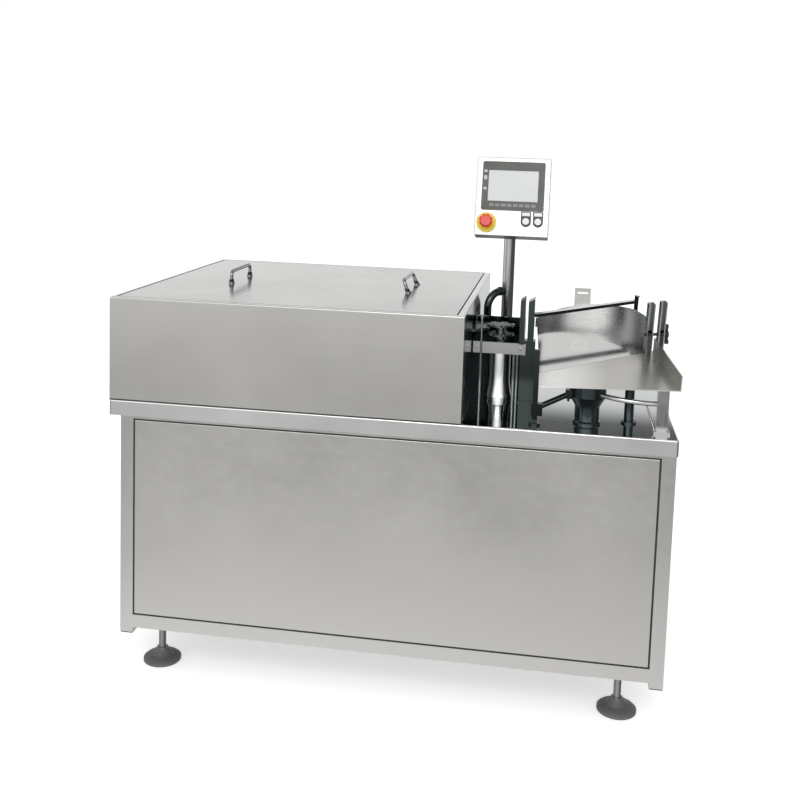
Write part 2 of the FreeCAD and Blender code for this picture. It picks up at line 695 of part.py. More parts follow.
def star_shaft():
    outline = gear_outline(STAR_TEETH, TRAIN_ANGLE, STAR_X, STAR_Y)
    gear = prism(outline, GEAR_BOTTOM, GEAR_BOTTOM + GEAR_THICKNESS)
    shaft = upright(STAR_X, STAR_Y, GEAR_BOTTOM, WHEEL_HIGH + WHEEL_PLATE, STAR_SHAFT_RADIUS)
    return fuse([gear, shaft])


def star_wheel():
    low = pocket_plate(STAR_X, STAR_Y, STAR_PITCH, STAR_POCKETS, TRAIN_ANGLE, WHEEL_LOW, WHEEL_PLATE, STAR_SHAFT_RADIUS)
    high = pocket_plate(STAR_X, STAR_Y, STAR_PITCH, STAR_POCKETS, TRAIN_ANGLE, WHEEL_HIGH, WHEEL_PLATE,
                        STAR_SHAFT_RADIUS)
    hub = upright(STAR_X, STAR_Y, WHEEL_LOW - 12, WHEEL_HIGH, 14.0)
    hub = hub.cut(upright(STAR_X, STAR_Y, WHEEL_LOW - 13, WHEEL_HIGH + 1, STAR_SHAFT_RADIUS))
    return fuse([low, hub, high])


def star_column():
    """Polished bearing column with a flared foot."""
    hole = STAR_SHAFT_RADIUS + RUNNING_GAP
    profile = [(hole, TABLE_HEIGHT), (COLUMN_BASE_RADIUS, TABLE_HEIGHT)]
    profile += [(COLUMN_BASE_RADIUS, TABLE_HEIGHT + COLUMN_BASE_RIM)]
    steps = 8
    for step in range(1, steps + 1):
        share = step / steps
        z = TABLE_HEIGHT + COLUMN_BASE_RIM + share * (COLUMN_FLARE_HEIGHT - COLUMN_BASE_RIM)
        r = COLUMN_RADIUS + (COLUMN_BASE_RADIUS - COLUMN_RADIUS) * (1 - share) ** 2
        profile.append((r, z))
    top = TABLE_HEIGHT + COLUMN_HEIGHT
    profile += [(COLUMN_RADIUS, top - 3), (COLUMN_RADIUS - 3, top), (hole, top)]
    return lathe(profile, STAR_X, STAR_Y)


# ---- guards round the star wheel ----

def guide_bar():
    x0 = COVER_RIGHT + GUIDE_BAR_GAP
    y = GUIDE_BAR_Y
    face = box(x0, GUIDE_BAR_END, y, y + GUIDE_BAR_SHEET, GUIDE_BAR_LOW, GUIDE_BAR_HIGH)
    flange = box(x0, GUIDE_BAR_END, y, y + GUIDE_BAR_FLANGE, GUIDE_BAR_HIGH - GUIDE_BAR_SHEET, GUIDE_BAR_HIGH)
    return fuse([face, flange])


def guide_bar_rods():
    y = GUIDE_BAR_Y + GUIDE_BAR_SHEET + GUIDE_ROD_RADIUS
    under = GUIDE_BAR_HIGH - GUIDE_BAR_SHEET
    rods = [upright(x, y, TABLE_HEIGHT, under, GUIDE_ROD_RADIUS) for x in GUIDE_ROD_X]
    tall_y = GUIDE_BAR_Y - GUIDE_ROD_RADIUS
    tall = upright(TALL_ROD_X, tall_y, TABLE_HEIGHT, TALL_ROD_TOP, GUIDE_ROD_RADIUS - 0.5)
    low, high = TALL_ROD_TOP - 3.0, TALL_ROD_TOP + 8.0
    knob = lathe([(0, low), (5.0, low), (5.0, high - 2.0), (3.0, high), (0, high)], TALL_ROD_X, tall_y)
    return group([rods[0], rods[1], fuse([tall, knob])])


def star_back_guard():
    y = BACK_GUARD_Y
    wall = box(COVER_RIGHT, BACK_GUARD_END, y, y + 2.5, TABLE_HEIGHT, BACK_GUARD_TOP)
    foot = box(COVER_RIGHT, BACK_GUARD_END, y, y + 22, TABLE_HEIGHT, TABLE_HEIGHT + 2.5)
    lip = box(COVER_RIGHT, BACK_GUARD_END, y, y + 12, BACK_GUARD_TOP - 2.5, BACK_GUARD_TOP)
    return fuse([wall, foot, lip])


# ---- infeed hopper ----

def slanted_prong(x0, x1, low_top, high_top):
    """A flat upright prong whose top edge rises to the right."""
    outline = [(x0, PRONG_BOTTOM), (x1, PRONG_BOTTOM), (x1, high_top), (x0, low_top)]
    corners = [Vec(x, PRONG_FRONT, z) for x, z in outline]
    return Part.Face(Part.makePolygon(corners + [corners[0]])).extrude(Vec(0, PRONG_DEPTH, 0))


def infeed_post():
    """Square column whose two flat prongs carry the end of the guide rail."""
    column = box(*POST_COLUMN, TABLE_HEIGHT, POST_COLUMN_TOP)
    prongs = [slanted_prong(*prong) for prong in PRONGS]
    foot = box(*POST_FOOT, TABLE_HEIGHT, TABLE_HEIGHT + 5)
    return fuse([column, foot] + prongs)


def flange_frame():
    """Start of the flange fold line with its unit directions outward and along the flange."""
    start = Vec(HOPPER_FRONT_RIGHT[0], HOPPER_FRONT_RIGHT[1], 0)
    run = Vec(JOINT_RIGHT_U, JOINT_RIGHT_V, 0).sub(start)
    along = Vec(run).normalize()
    return start, Vec(along.y, -along.x, 0), along, run.Length


def beside_flange(shape):
    """Places a shape drawn with x outward from the flange, y along it and z square to the deck."""
    start, outward = flange_frame()[:2]
    placed = shape.copy()
    turn = FreeCAD.Rotation(Z_AXIS, math.degrees(math.atan2(outward.y, outward.x)))
    placed.Placement = FreeCAD.Placement(start, turn).multiply(placed.Placement)
    return in_hopper(placed)


def hopper_apron():
    """Brushed front plate with its upturned right side."""
    outline = [(HOPPER_LEFT, HOPPER_FRONT_LEFT_V), HOPPER_FRONT_RIGHT]
    outline += [(JOINT_RIGHT_U, JOINT_RIGHT_V), (HOPPER_LEFT, JOINT_LEFT_V)]
    plate = in_hopper(prism(outline, -HOPPER_SHEET, 0))
    length = flange_frame()[3]
    flange = beside_flange(box(0, HOPPER_SHEET, 0, length, -HOPPER_SHEET, FLANGE_HEIGHT))
    return fuse([plate, flange])


def hopper_deck():
    """Polished back plate under the curved guard, with one lug outside it."""
    left = (HOPPER_LEFT, JOINT_LEFT_V + JOINT_GAP)
    right = (JOINT_RIGHT_U, JOINT_RIGHT_V + JOINT_GAP)
    disc = Part.makeCylinder(GUARD_RADIUS + GUARD_SHEET, HOPPER_SHEET,
                             Vec(GUARD_CENTRE_U, GUARD_CENTRE_V, -HOPPER_SHEET), Z_AXIS)
    keep = prism([left, right, (230, right[1]), (230, 400), (HOPPER_LEFT, 400)], -10, 10)
    disc = disc.common(keep)
    left_strip = prism([left, right, (100, 200), (HOPPER_LEFT, 200)], -HOPPER_SHEET, 0)
    rail_lug = prism([(90, 250), (130, 240), (168, 292), (150, 318), (130, 318)], -HOPPER_SHEET, 0)
    return in_hopper(fuse([disc, left_strip, rail_lug]))


def hopper_guard():
    sweep = GUARD_END - GUARD_START
    centre = Vec(GUARD_CENTRE_U, GUARD_CENTRE_V, 0)
    outer = Part.makeCylinder(GUARD_RADIUS + GUARD_SHEET, 120, centre, Z_AXIS, sweep)
    inner = Part.makeCylinder(GUARD_RADIUS, 140, centre.sub(Vec(0, 0, 10)), Z_AXIS, 360)
    wall = outer.cut(inner)
    wall.rotate(centre, Z_AXIS, GUARD_START)
    left_h = GUARD_HEIGHT_MID - 300 * GUARD_HEIGHT_SLOPE
    right_h = GUARD_HEIGHT_MID + 300 * GUARD_HEIGHT_SLOPE
    corners = [Vec(-300, -200, left_h), Vec(300, -200, right_h), Vec(300, -200, 300), Vec(-300, -200, 300)]
    above = Part.Face(Part.makePolygon(corners + [corners[0]])).extrude(Vec(0, 900, 0))
    return in_hopper(wall.cut(above))


def guide_rail():
    """Straight rail that leads vials to the star wheel, with its end post."""
    run = Vec(RAIL_RIGHT[0] - RAIL_LEFT[0], RAIL_RIGHT[1] - RAIL_LEFT[1], 0)
    angle = math.degrees(math.atan2(run.y, run.x))
    bar = box(0, run.Length, -RAIL_WIDTH / 2, RAIL_WIDTH / 2, RAIL_TOP - RAIL_DEPTH, RAIL_TOP)
    half = RAIL_WIDTH / 2
    top = RAIL_TOP + RAIL_POST_ABOVE
    post = box(run.Length - RAIL_POST, run.Length, -half, half, 0, top)
    hook = box(run.Length - RAIL_POST, run.Length + 3, -half, half, top - 3, top)
    rail = fuse([bar, post, hook])
    rail.rotate(Vec(0, 0, 0), Z_AXIS, angle)
    rail.translate(Vec(RAIL_LEFT[0], RAIL_LEFT[1], 0))
    return in_hopper(rail).cut(infeed_post())


def u_channel(u0, u1, v0, v1, w0, w1, wall):
    return box(u0, u1, v0, v1, w0, w1).cut(box(u0 + wall, u1 - wall, v0 - 1, v1 - wall, w0 - 1, w1 + 1))


def channel_posts():
    """Two upright channels, one on the apron and one on the outer face of its flange."""
    y0, y1 = POST_ALONG
    first = u_channel(POST_INNER[0], POST_INNER[1], y0, y1, 0.0, POST_INNER_TOP, 3.0)
    second = u_channel(POST_OUTER[0], POST_OUTER[1], y0, y1, 0.0, POST_OUTER_TOP, 3.0)
    reach = POST_OUTER[1] - POST_INNER[0] + 20
    start = Vec(POST_INNER[0] - 10, KNOB_ALONG, KNOB_W)
    hole = Part.makeCylinder(STUD_RADIUS + RUNNING_GAP, reach, start, Vec(1, 0, 0))
    return beside_flange(group([first.cut(hole), second.cut(hole)]))


def clamp_knob():
    """Wing knob on a stud through both channel posts."""
    face = POST_OUTER[1] + 0.5
    out = Vec(1, 0, 0)
    centre = Vec(face, KNOB_ALONG, KNOB_W)
    stud_start = Vec(POST_INNER[0] - 4, KNOB_ALONG, KNOB_W)
    solids = [Part.makeCylinder(STUD_RADIUS, centre.x - stud_start.x + 2, stud_start, out)]
    solids.append(Part.makeCylinder(9.0, 10.0, centre, out))
    for side in (-1, 1):
        tip = centre.add(Vec(2, 5.0 * side, 20.0 * side))
        arm = Part.makeCylinder(4.5, 20.6, centre.add(Vec(6, 0, 0)), Vec(0, 5.0 * side, 20.0 * side))
        ball = Part.makeCylinder(6.5, 8.0, tip, out)
        solids += [arm, ball]
    return beside_flange(fuse(solids))


def rear_bracket():
    """Slotted sensor bracket screwed to the back of the curved guard."""
    v = GUARD_CENTRE_V + GUARD_RADIUS + GUARD_SHEET
    outline = [(-23.0, 6.0), (25.0, 6.0), (21.0, 96.0), (-24.0, 96.0)]
    corners = [Vec(u, v, w) for u, w in outline]
    plate = Part.Face(Part.makePolygon(corners + [corners[0]])).extrude(Vec(0, 3.0, 0))
    slot = box(-16.0, 14.0, v - 2, v + 8, 79.0, 84.0)
    return in_hopper(plate.cut(slot))


def pedestal():
    head_top = 960.0
    profile = [(0, TABLE_HEIGHT), (PEDESTAL_RADIUS + 4, TABLE_HEIGHT), (PEDESTAL_RADIUS + 4, TABLE_HEIGHT + 5)]
    profile += [(PEDESTAL_RADIUS, TABLE_HEIGHT + 9), (PEDESTAL_RADIUS, PEDESTAL_NECK_Z)]
    profile += [(PEDESTAL_RADIUS + 4, PEDESTAL_NECK_Z + 8), (PEDESTAL_RADIUS + 11, PEDESTAL_NECK_Z + 20)]
    profile += [(PEDESTAL_HEAD_RADIUS, PEDESTAL_HEAD_Z), (PEDESTAL_HEAD_RADIUS, head_top), (0, head_top)]
    column = lathe(profile, HOPPER_ORIGIN.x, HOPPER_ORIGIN.y)
    return column.cut(space_above_deck())


def brace_post_left():
    bar = box(*BRACE_LEFT, TABLE_HEIGHT + 5, BRACE_TOP)
    foot = upright(390.0, -442.5, TABLE_HEIGHT, TABLE_HEIGHT + 5, 15.0)
    return fuse([bar, foot])


def brace_arm_left():
    """Round arm with a clamp block at each end."""
    outer = box(380.0, 409.0, -452.0, -432.0, 790.0, 822.0)
    slot = box(*BRACE_LEFT, 780.0, 830.0)
    outer = outer.cut(slot)
    inner = box(466.0, 484.0, -417.0, -397.0, 832.0, 856.0)
    arm = rod(ARM_START, ARM_MIDDLE, ARM_RADIUS).cut(slot)
    screw = upright(474.0, -409.0, 824.0, 834.0, 3.0)
    tail = rod(ARM_MIDDLE, ARM_END, ARM_RADIUS)
    return fuse([outer, inner, arm, screw, tail]).cut(pedestal())


def brace_post_right():
    bar = box(*BRACE_RIGHT, TABLE_HEIGHT + 6, BRACE_TOP - 2)
    foot = box(690.0, 731.0, -455.0, -414.0, TABLE_HEIGHT, TABLE_HEIGHT + 6)
    return fuse([bar, foot]).cut(space_above_deck())


def brace_ring():
    """Bowed bar from the pedestal head to the right post, with a thin stay."""
    start = Vec(HOPPER_ORIGIN.x, HOPPER_ORIGIN.y, 850.0)
    path = Part.Wire([Part.Arc(start, RING_MIDDLE, RING_END).toShape()])
    heading = path.Edges[0].tangentAt(path.Edges[0].FirstParameter)
    ring = Part.Wire(Part.makeCircle(RING_RADIUS, start, heading))
    bar = path.makePipeShell([ring], True, False)
    stay = rod(Vec(668.0, -436.0, 842.0), Vec(692.5, -430.0, TABLE_HEIGHT + 8), 2.5)
    return fuse([bar, stay]).cut(pedestal()).cut(brace_post_right())


def brace_column_back():
    column = upright(*BACK_COLUMN, TABLE_HEIGHT + 5, 1000.0, BACK_COLUMN_RADIUS)
    foot = upright(*BACK_COLUMN, TABLE_HEIGHT, TABLE_HEIGHT + 5, 20.0)
    return fuse([column, foot]).cut(space_above_deck())


# ---- control panel ----

def panel_pole():
    tube = upright(POLE_X, POLE_Y, TABLE_HEIGHT, POLE_TOP, POLE_RADIUS)
    tube = tube.cut(upright(POLE_X, POLE_Y, TABLE_HEIGHT - 1, POLE_TOP - 3, POLE_RADIUS - POLE_WALL))
    flange = upright(POLE_X, POLE_Y, TABLE_HEIGHT, TABLE_HEIGHT + 8, 45.0)
    flange = flange.cut(upright(POLE_X, POLE_Y, TABLE_HEIGHT - 1, TABLE_HEIGHT + 9, POLE_RADIUS - POLE_WALL))
    stop = upright(POLE_X, POLE_Y, COLLAR_LOW - 12, COLLAR_LOW - 0.2, POLE_RADIUS + 5)
    stop = stop.cut(upright(POLE_X, POLE_Y, COLLAR_LOW - 20, COLLAR_LOW, POLE_RADIUS - POLE_WALL))
    return fuse([tube, flange, stop])


def table_bolts():
    """Socket screws that hold the pole flange to the table."""
    bolts = []
    for step in range(4):
        angle = math.radians(45 + 90 * step)
        x, y = POLE_X + 32 * math.cos(angle), POLE_Y + 32 * math.sin(angle)
        bolts.append(upright(x, y, TABLE_HEIGHT + 8, TABLE_HEIGHT + 14, 5.5))
    return group(bolts)


def conduit_elbow():
    x, y, high = CONDUIT_X, CONDUIT_Y, CONDUIT_HIGH
    points = [Vec(x, y, TABLE_HEIGHT), Vec(x, y, high), Vec(POLE_X, POLE_Y, high)]
    pipe = swept_rod(points, CONDUIT_RADIUS, CONDUIT_BEND)
    glands = [upright(x, y, TABLE_HEIGHT, TABLE_HEIGHT + 10, 16.0)]
    run = Vec(POLE_X - x, POLE_Y - y, 0).normalize()
    clamp_at = Vec(POLE_X, POLE_Y, high).sub(Vec(run).multiply(POLE_RADIUS + 15))
    glands.append(Part.makeCylinder(14.0, 6.0, clamp_at, run))
    tube = upright(POLE_X, POLE_Y, high - 60, high + 60, POLE_RADIUS)
    return fuse([pipe] + glands).cut(tube)


def swivel_collar():
    ring = upright(POLE_X, POLE_Y, COLLAR_LOW, COLLAR_HIGH, COLLAR_RADIUS)
    lug_low = PIN_Z - 12
    lug = box(PANEL_X - 12, PANEL_X + 12, PIN_Y, POLE_Y, lug_low, PIN_Z + 12)
    body = fuse([ring, lug])
    bore = upright(POLE_X, POLE_Y, COLLAR_LOW - 1, COLLAR_HIGH + 1, POLE_RADIUS + RUNNING_GAP)
    body = body.cut(bore)
    pin_hole = Part.makeCylinder(PIN_RADIUS + RUNNING_GAP, 60, Vec(PANEL_X - 30, PIN_Y, PIN_Z), Vec(1, 0, 0))
    nose = Part.makeCylinder(13.0, 24, Vec(PANEL_X - 12, PIN_Y, PIN_Z), Vec(1, 0, 0))
    body = body.fuse(nose)
    return body.cut(bore).cut(pin_hole).removeSplitter()


def hmi_case():
    """Sheet box with a pair of ears and the tilt pin behind it."""
    w, h, d = PANEL_WIDTH / 2, PANEL_HEIGHT / 2, PANEL_DEPTH
    shell = box(-w, w, 0, d, -h, h)
    edges = [e for e in shell.Edges if abs(e.Vertexes[0].Y - e.Vertexes[1].Y) > 1]
    shell = shell.makeFillet(3.0, edges)
    s = 2.0
    shell = shell.cut(box(-w + s, w - s, s, d + 1, -h + s, h - s))
    rear = box(-w + s, w - s, d - s, d, -h + s, h - s)
    bw, bh = BEZEL_WIDTH / 2 - 6, BEZEL_HEIGHT / 2 - 6
    shell = fuse([shell, rear])
    shell = shell.cut(box(-bw, bw, -1, s + 1, BEZEL_UP - bh, BEZEL_UP + bh))
    shell = shell.cut(panel_button(ESTOP_U, ESTOP_V, -1, s + 1, 11.0))
    for u in BUTTON_U:
        shell = shell.cut(panel_button(u, BUTTON_V, -1, s + 1, 8.0))
    case = in_panel(shell)
    ears = []
    for x0 in (PANEL_X - 18, PANEL_X + 12.5):
        ear = box(x0, x0 + 5.5, 60.0, PIN_Y + 8, PIN_Z - 12, PIN_Z + 12)
        ears.append(ear)
    pin = Part.makeCylinder(PIN_RADIUS, 36.0, Vec(PANEL_X - 18, PIN_Y, PIN_Z), Vec(1, 0, 0))
    inside = in_panel(box(-w - 50, w + 50, -50, d, -h - 50, h + 50))
    ears = [ear.cut(inside) for ear in ears]
    return fuse([case] + ears + [pin])


def hmi_bezel():
    w, h = BEZEL_WIDTH / 2, BEZEL_HEIGHT / 2
    plate = box(-w, w, -BEZEL_THICKNESS, 0, BEZEL_UP - h, BEZEL_UP + h)
    edges = [e for e in plate.Edges if abs(e.Vertexes[0].Y - e.Vertexes[1].Y) > 1]
    plate = plate.makeFillet(5.0, edges)
    body = box(-w + 7, w - 7, 0, 38, BEZEL_UP - h + 7, BEZEL_UP + h - 7)
    sw, sh = SCREEN_WIDTH / 2, SCREEN_HEIGHT / 2
    window = box(-sw, sw, -BEZEL_THICKNESS - 1, -1, BEZEL_UP - sh, BEZEL_UP + sh)
    return in_panel(fuse([plate, body]).cut(window))


def hmi_screen():
    sw, sh = SCREEN_WIDTH / 2, SCREEN_HEIGHT / 2
    return in_panel(box(-sw, sw, -BEZEL_THICKNESS + 1, -1, BEZEL_UP - sh, BEZEL_UP + sh))


def hmi_keys():
    """Membrane keys in a row under the screen."""
    keys = []
    low = BEZEL_UP - SCREEN_HEIGHT / 2 - 17
    for step in range(8):
        u = -63.0 + 18.0 * step
        keys.append(box(u - 7, u + 7, -BEZEL_THICKNESS - 0.6, -BEZEL_THICKNESS, low, low + 9))
    return in_panel(group(keys))


def estop_ring():
    disc = panel_button(ESTOP_U, ESTOP_V, -4.0, 0.0, 30.0)
    collar = panel_button(ESTOP_U, ESTOP_V, -11.0, -4.0, 16.0)
    body = panel_button(ESTOP_U, ESTOP_V, 0.0, 40.0, 11.0)
    plunger = panel_button(ESTOP_U, ESTOP_V, -12.0, 30.0, 6.0 + RUNNING_GAP)
    return in_panel(fuse([disc, collar, body]).cut(plunger))


def estop_mushroom():
    low = -11.0 - ESTOP_TRAVEL - 1
    stem = panel_button(ESTOP_U, ESTOP_V, low, 20.0, 6.0)
    skirt = panel_button(ESTOP_U, ESTOP_V, low - 12.0, low, 20.0)
    crown = Part.makeCone(20.0, 15.0, 5.0, Vec(ESTOP_U, low - 12.0, ESTOP_V), Vec(0, -1, 0))
    head = fuse([skirt, crown])
    for step in range(8):
        angle = math.radians(45 * step)
        u = ESTOP_U + 22.0 * math.cos(angle)
        v = ESTOP_V + 22.0 * math.sin(angle)
        head = head.cut(panel_button(u, v, low - 18.0, low + 1, 4.5))
    return in_panel(fuse([head, stem]))


def button_holders():
    holders = []
    for u in BUTTON_U:
        plate = box(u - 15, u + 15, -3.0, 0.0, BUTTON_V, BUTTON_V + 31)
        plate = plate.fuse(panel_button(u, BUTTON_V, -3.0, 0.0, 15.0))
        ring = panel_button(u, BUTTON_V, -7.0, -3.0, 14.0)
        neck = panel_button(u, BUTTON_V, 0.0, 34.0, 8.0)
        holder = fuse([plate, ring, neck])
        holder = holder.cut(panel_button(u, BUTTON_V, -8.0, -1.0, 10.0))
        holders.append(holder.cut(panel_button(u, BUTTON_V, -8.0, 24.0, 5.0 + RUNNING_GAP)))
    return in_panel(group(holders))


def button_plunger(u):
    cap = panel_button(u, BUTTON_V, -9.0, -5.0, 9.9)
    stem = panel_button(u, BUTTON_V, -5.0, 18.0, 5.0)
    return in_panel(fuse([cap, stem]))


# ---- machinery inside ----

def drive_stand():
    x, y = turret_centre()
    floor = FLOOR_TOP
    solids = []
    for sx in (-1, 1):
        for sy in (-1, 1):
            cx, cy = x + 95 * sx, y + 95 * sy
            solids.append(box(cx - 15, cx + 15, cy - 15, cy + 15, floor, 480.0))
    solids.append(box(x - 110, x + 110, y - 110, y + 110, 480.0, 490.0))
    solids.append(box(x - 110, x + 110, y - 110, y + 110, floor, floor + 8))
    return fuse(solids).cut(upright(x, y, 470.0, 500.0, 40.0))


def drive_unit():
    """Right-angle gearbox with a hollow output and a flanged motor."""
    x, y = turret_centre()
    case = box(x - 80, x + 80, y - 80, y + 80, 490.0, 640.0)
    case = case.makeFillet(10.0, case.Edges)
    neck = upright(x, y, 640.0, 668.0, 55.0)
    motor = Part.makeCylinder(62.0, 200.0, Vec(x - 80, y, 565.0), Vec(-1, 0, 0))
    flange = Part.makeCylinder(74.0, 14.0, Vec(x - 78, y, 565.0), Vec(-1, 0, 0))
    box_top = box(x - 230, x - 150, y - 40, y + 40, 600.0, 645.0)
    unit = fuse([case, neck, motor, flange, box_top])
    return unit.cut(upright(x, y, 515.0, 700.0, TURRET_SHAFT_RADIUS + RUNNING_GAP))


def spray_station(x, y, step):
    """A point under the turret rim, one station every 15 degrees."""
    angle = math.radians(TRAIN_ANGLE + 180.0 + 15.0 * step)
    return x + TURRET_PITCH * math.cos(angle), y + TURRET_PITCH * math.sin(angle)


def spray_manifold():
    """Supply ring under the turret rim with one upright spray needle per station."""
    x, y = turret_centre()
    ring = Part.makeTorus(TURRET_PITCH, 9.0, Vec(x, y, 850.0), Z_AXIS)
    gap = box(x, x + 500, y - 90, y + 90, 700.0, 1000.0)
    gap.rotate(Vec(x, y, 0), Z_AXIS, TRAIN_ANGLE + 180.0)
    solids = [ring.cut(gap)]
    for step in range(3, 21):
        px, py = spray_station(x, y, step)
        solids.append(upright(px, py, 850.0, 930.0, 2.5))
    for step in (6, 12, 18):
        px, py = spray_station(x, y, step)
        solids.append(upright(px, py, TABLE_HEIGHT, 850.0, 8.0))
    return fuse(solids)


def water_tank():
    """Open-topped sheet tank with a turned rim."""
    x0, x1, y0, y1 = TANK_SIDES
    wall, rim = 3.0, 6.0
    tank = box(x0, x1, y0, y1, FLOOR_TOP, TANK_TOP)
    edge = box(x0 - rim, x1 + rim, y0 - rim, y1 + rim, TANK_TOP - rim, TANK_TOP)
    hollow = box(x0 + wall, x1 - wall, y0 + wall, y1 - wall, FLOOR_TOP + wall, TANK_TOP + 1)
    return fuse([tank, edge]).cut(hollow)


def water_pump():
    """Close-coupled pump: motor, volute, outlet upward, inlet from the tank."""
    floor = FLOOR_TOP
    axis = Vec(0, 1, 0)
    back_of_volute = PUMP_Y + 22.0
    foot = box(PUMP_X - 80, PUMP_X + 80, PUMP_Y - 183, PUMP_Y - 43, floor, floor + 12)
    saddle = box(PUMP_X - 40, PUMP_X + 40, PUMP_Y - 173, PUMP_Y - 53, floor, floor + 60)
    motor = Part.makeCylinder(58.0, 170.0, Vec(PUMP_X, PUMP_Y - 193, floor + 78), axis)
    volute = Part.makeCylinder(80.0, 45.0, Vec(PUMP_X, PUMP_Y - 23, floor + 92), axis)
    outlet = upright(PUMP_X, PUMP_Y, floor + 92, floor + 200, 20.0)
    reach = TANK_SIDES[2] - back_of_volute
    inlet = Part.makeCylinder(20.0, reach, Vec(PUMP_X, back_of_volute, floor + 92), axis)
    return fuse([foot, motor, volute, saddle, outlet, inlet])


def filter_housings():
    """Three upright filter cans in a row."""
    floor = FLOOR_TOP
    cans = []
    for x in FILTER_X:
        profile = [(0, floor), (42.0, floor), (42.0, floor + 250), (46.0, floor + 254), (46.0, floor + 280)]
        profile += [(20.0, FILTER_TOP), (0, FILTER_TOP)]
        cans.append(lathe(profile, x, FILTER_Y))
    return group(cans)


def water_pipes():
    """Pump outlet to the filters, and filters to the underside of the table."""
    radius, bend = 11.0, 30.0
    x, y = FILTER_X[0], FILTER_Y
    run = 500.0
    supply = [Vec(PUMP_X, PUMP_Y, FLOOR_TOP + 200), Vec(PUMP_X, PUMP_Y, run), Vec(PUMP_X, y, run)]
    supply += [Vec(x, y, run), Vec(x, y, FILTER_TOP)]
    x = FILTER_X[2]
    run = 560.0
    back = 300.0
    outlet = [Vec(x, y, FILTER_TOP), Vec(x, y, run), Vec(x, back, run), Vec(x, back, UNDER_TABLE)]
    return group([swept_rod(supply, radius, bend), swept_rod(outlet, radius, bend)])


def electrical_box():
    """Sheet enclosure with a front door standing on its gasket."""
    x0, x1, y0, y1 = 430.0, 680.0, -120.0, 380.0
    floor, top, wall = FLOOR_TOP, 560.0, 3.0
    case = box(x0, x1, y0 - 1, y1, floor, top)
    case = case.cut(box(x0 + wall, x1 - wall, y0 + wall, y1 - wall, floor + wall, top - wall))
    door = box(x0 + 2, x1 - 2, y0 - 4, y0 - 1, floor + 2, top - 2)
    return fuse([case, door])


def build():
    nodes = {
        "base_frame": base_frame(),
        "table_pan": table_pan(),
        "front_panel": front_panel(),
        "back_panel": back_panel(),
        "side_panels": side_panels(),
        "floor_pan": floor_pan(),
        "lock_nuts": lock_nuts(),
        "leg_plugs": leg_plugs(),
        "cover_box": cover_box(),
        "cover_lid": cover_lid(),
        "lid_handles": lid_handles(),
        "turret_gear": turret_gear(),
        "turret_plate": turret_plate(),
        "turret_shaft": turret_shaft(),
        "transfer_shaft": transfer_shaft(),
        "transfer_wheel": transfer_wheel(),
        "transfer_housing": transfer_housing(),
        "star_shaft": star_shaft(),
        "star_wheel": star_wheel(),
        "star_column": star_column(),
        "guide_bar": guide_bar(),
        "guide_bar_rods": guide_bar_rods(),
        "star_back_guard": star_back_guard(),
        "infeed_post": infeed_post(),
        "hopper_apron": hopper_apron(),
        "hopper_deck": hopper_deck(),
        "hopper_guard": hopper_guard(),
        "guide_rail": guide_rail(),
        "channel_posts": channel_posts(),
        "clamp_knob": clamp_knob(),
        "rear_bracket": rear_bracket(),
        "pedestal": pedestal(),
        "brace_post_left": brace_post_left(),
        "brace_arm_left": brace_arm_left(),
        "brace_post_right": brace_post_right(),
        "brace_ring": brace_ring(),
        "brace_column_back": brace_column_back(),
        "panel_pole": panel_pole(),
        "table_bolts": table_bolts(),
        "conduit_elbow": conduit_elbow(),
        "swivel_collar": swivel_collar(),
        "hmi_case": hmi_case(),
        "hmi_bezel": hmi_bezel(),
        "hmi_screen": hmi_screen(),
        "hmi_keys": hmi_keys(),
        "estop_ring": estop_ring(),
        "estop_mushroom": estop_mushroom(),
        "button_holders": button_holders(),
        "button_left": button_plunger(BUTTON_U[0]),
        "button_right": button_plunger(BUTTON_U[1]),
        "drive_unit": drive_unit(),
        "spray_manifold": spray_manifold(),
        "water_tank": water_tank(),
        "water_pump": water_pump(),
        "filter_housings": filter_housings(),
        "water_pipes": water_pipes(),
        "electrical_box": electrical_box(),
    }
    names = ("front_left", "back_left", "front_right", "back_right")
    spots = [(x, y) for x in FOOT_X for y in FOOT_Y]
    for name, (x, y) in zip(names, spots):
        nodes["foot_" + name] = levelling_foot(x, y)
    os.makedirs("parts", exist_ok=True)
    for name, shape in nodes.items():
        shape.exportStep("parts/" + name + ".step")


build()
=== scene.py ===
import bpy
import bmesh
import math
from mathutils import Matrix, Vector


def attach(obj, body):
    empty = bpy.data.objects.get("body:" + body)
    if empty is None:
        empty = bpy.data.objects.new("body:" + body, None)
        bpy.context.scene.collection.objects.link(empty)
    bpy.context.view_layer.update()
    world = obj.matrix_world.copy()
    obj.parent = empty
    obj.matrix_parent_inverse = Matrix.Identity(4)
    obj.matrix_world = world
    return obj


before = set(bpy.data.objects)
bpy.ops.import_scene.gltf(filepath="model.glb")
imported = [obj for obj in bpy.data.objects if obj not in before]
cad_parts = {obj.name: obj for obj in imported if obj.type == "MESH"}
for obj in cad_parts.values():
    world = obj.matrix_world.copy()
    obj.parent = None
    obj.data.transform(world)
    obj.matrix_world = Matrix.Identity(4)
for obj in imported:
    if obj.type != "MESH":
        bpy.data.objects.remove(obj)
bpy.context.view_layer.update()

# Camera: fitted to the viewing angle of the reference view
CAMERA_PLACE = (0.43446, -3.07174, 1.48374)
CAMERA_TURN = (83.9989, -1.8027, 8.9775)
CAMERA_LENS = 46.35
CAMERA_SHIFT = (-0.0019, -0.1886)

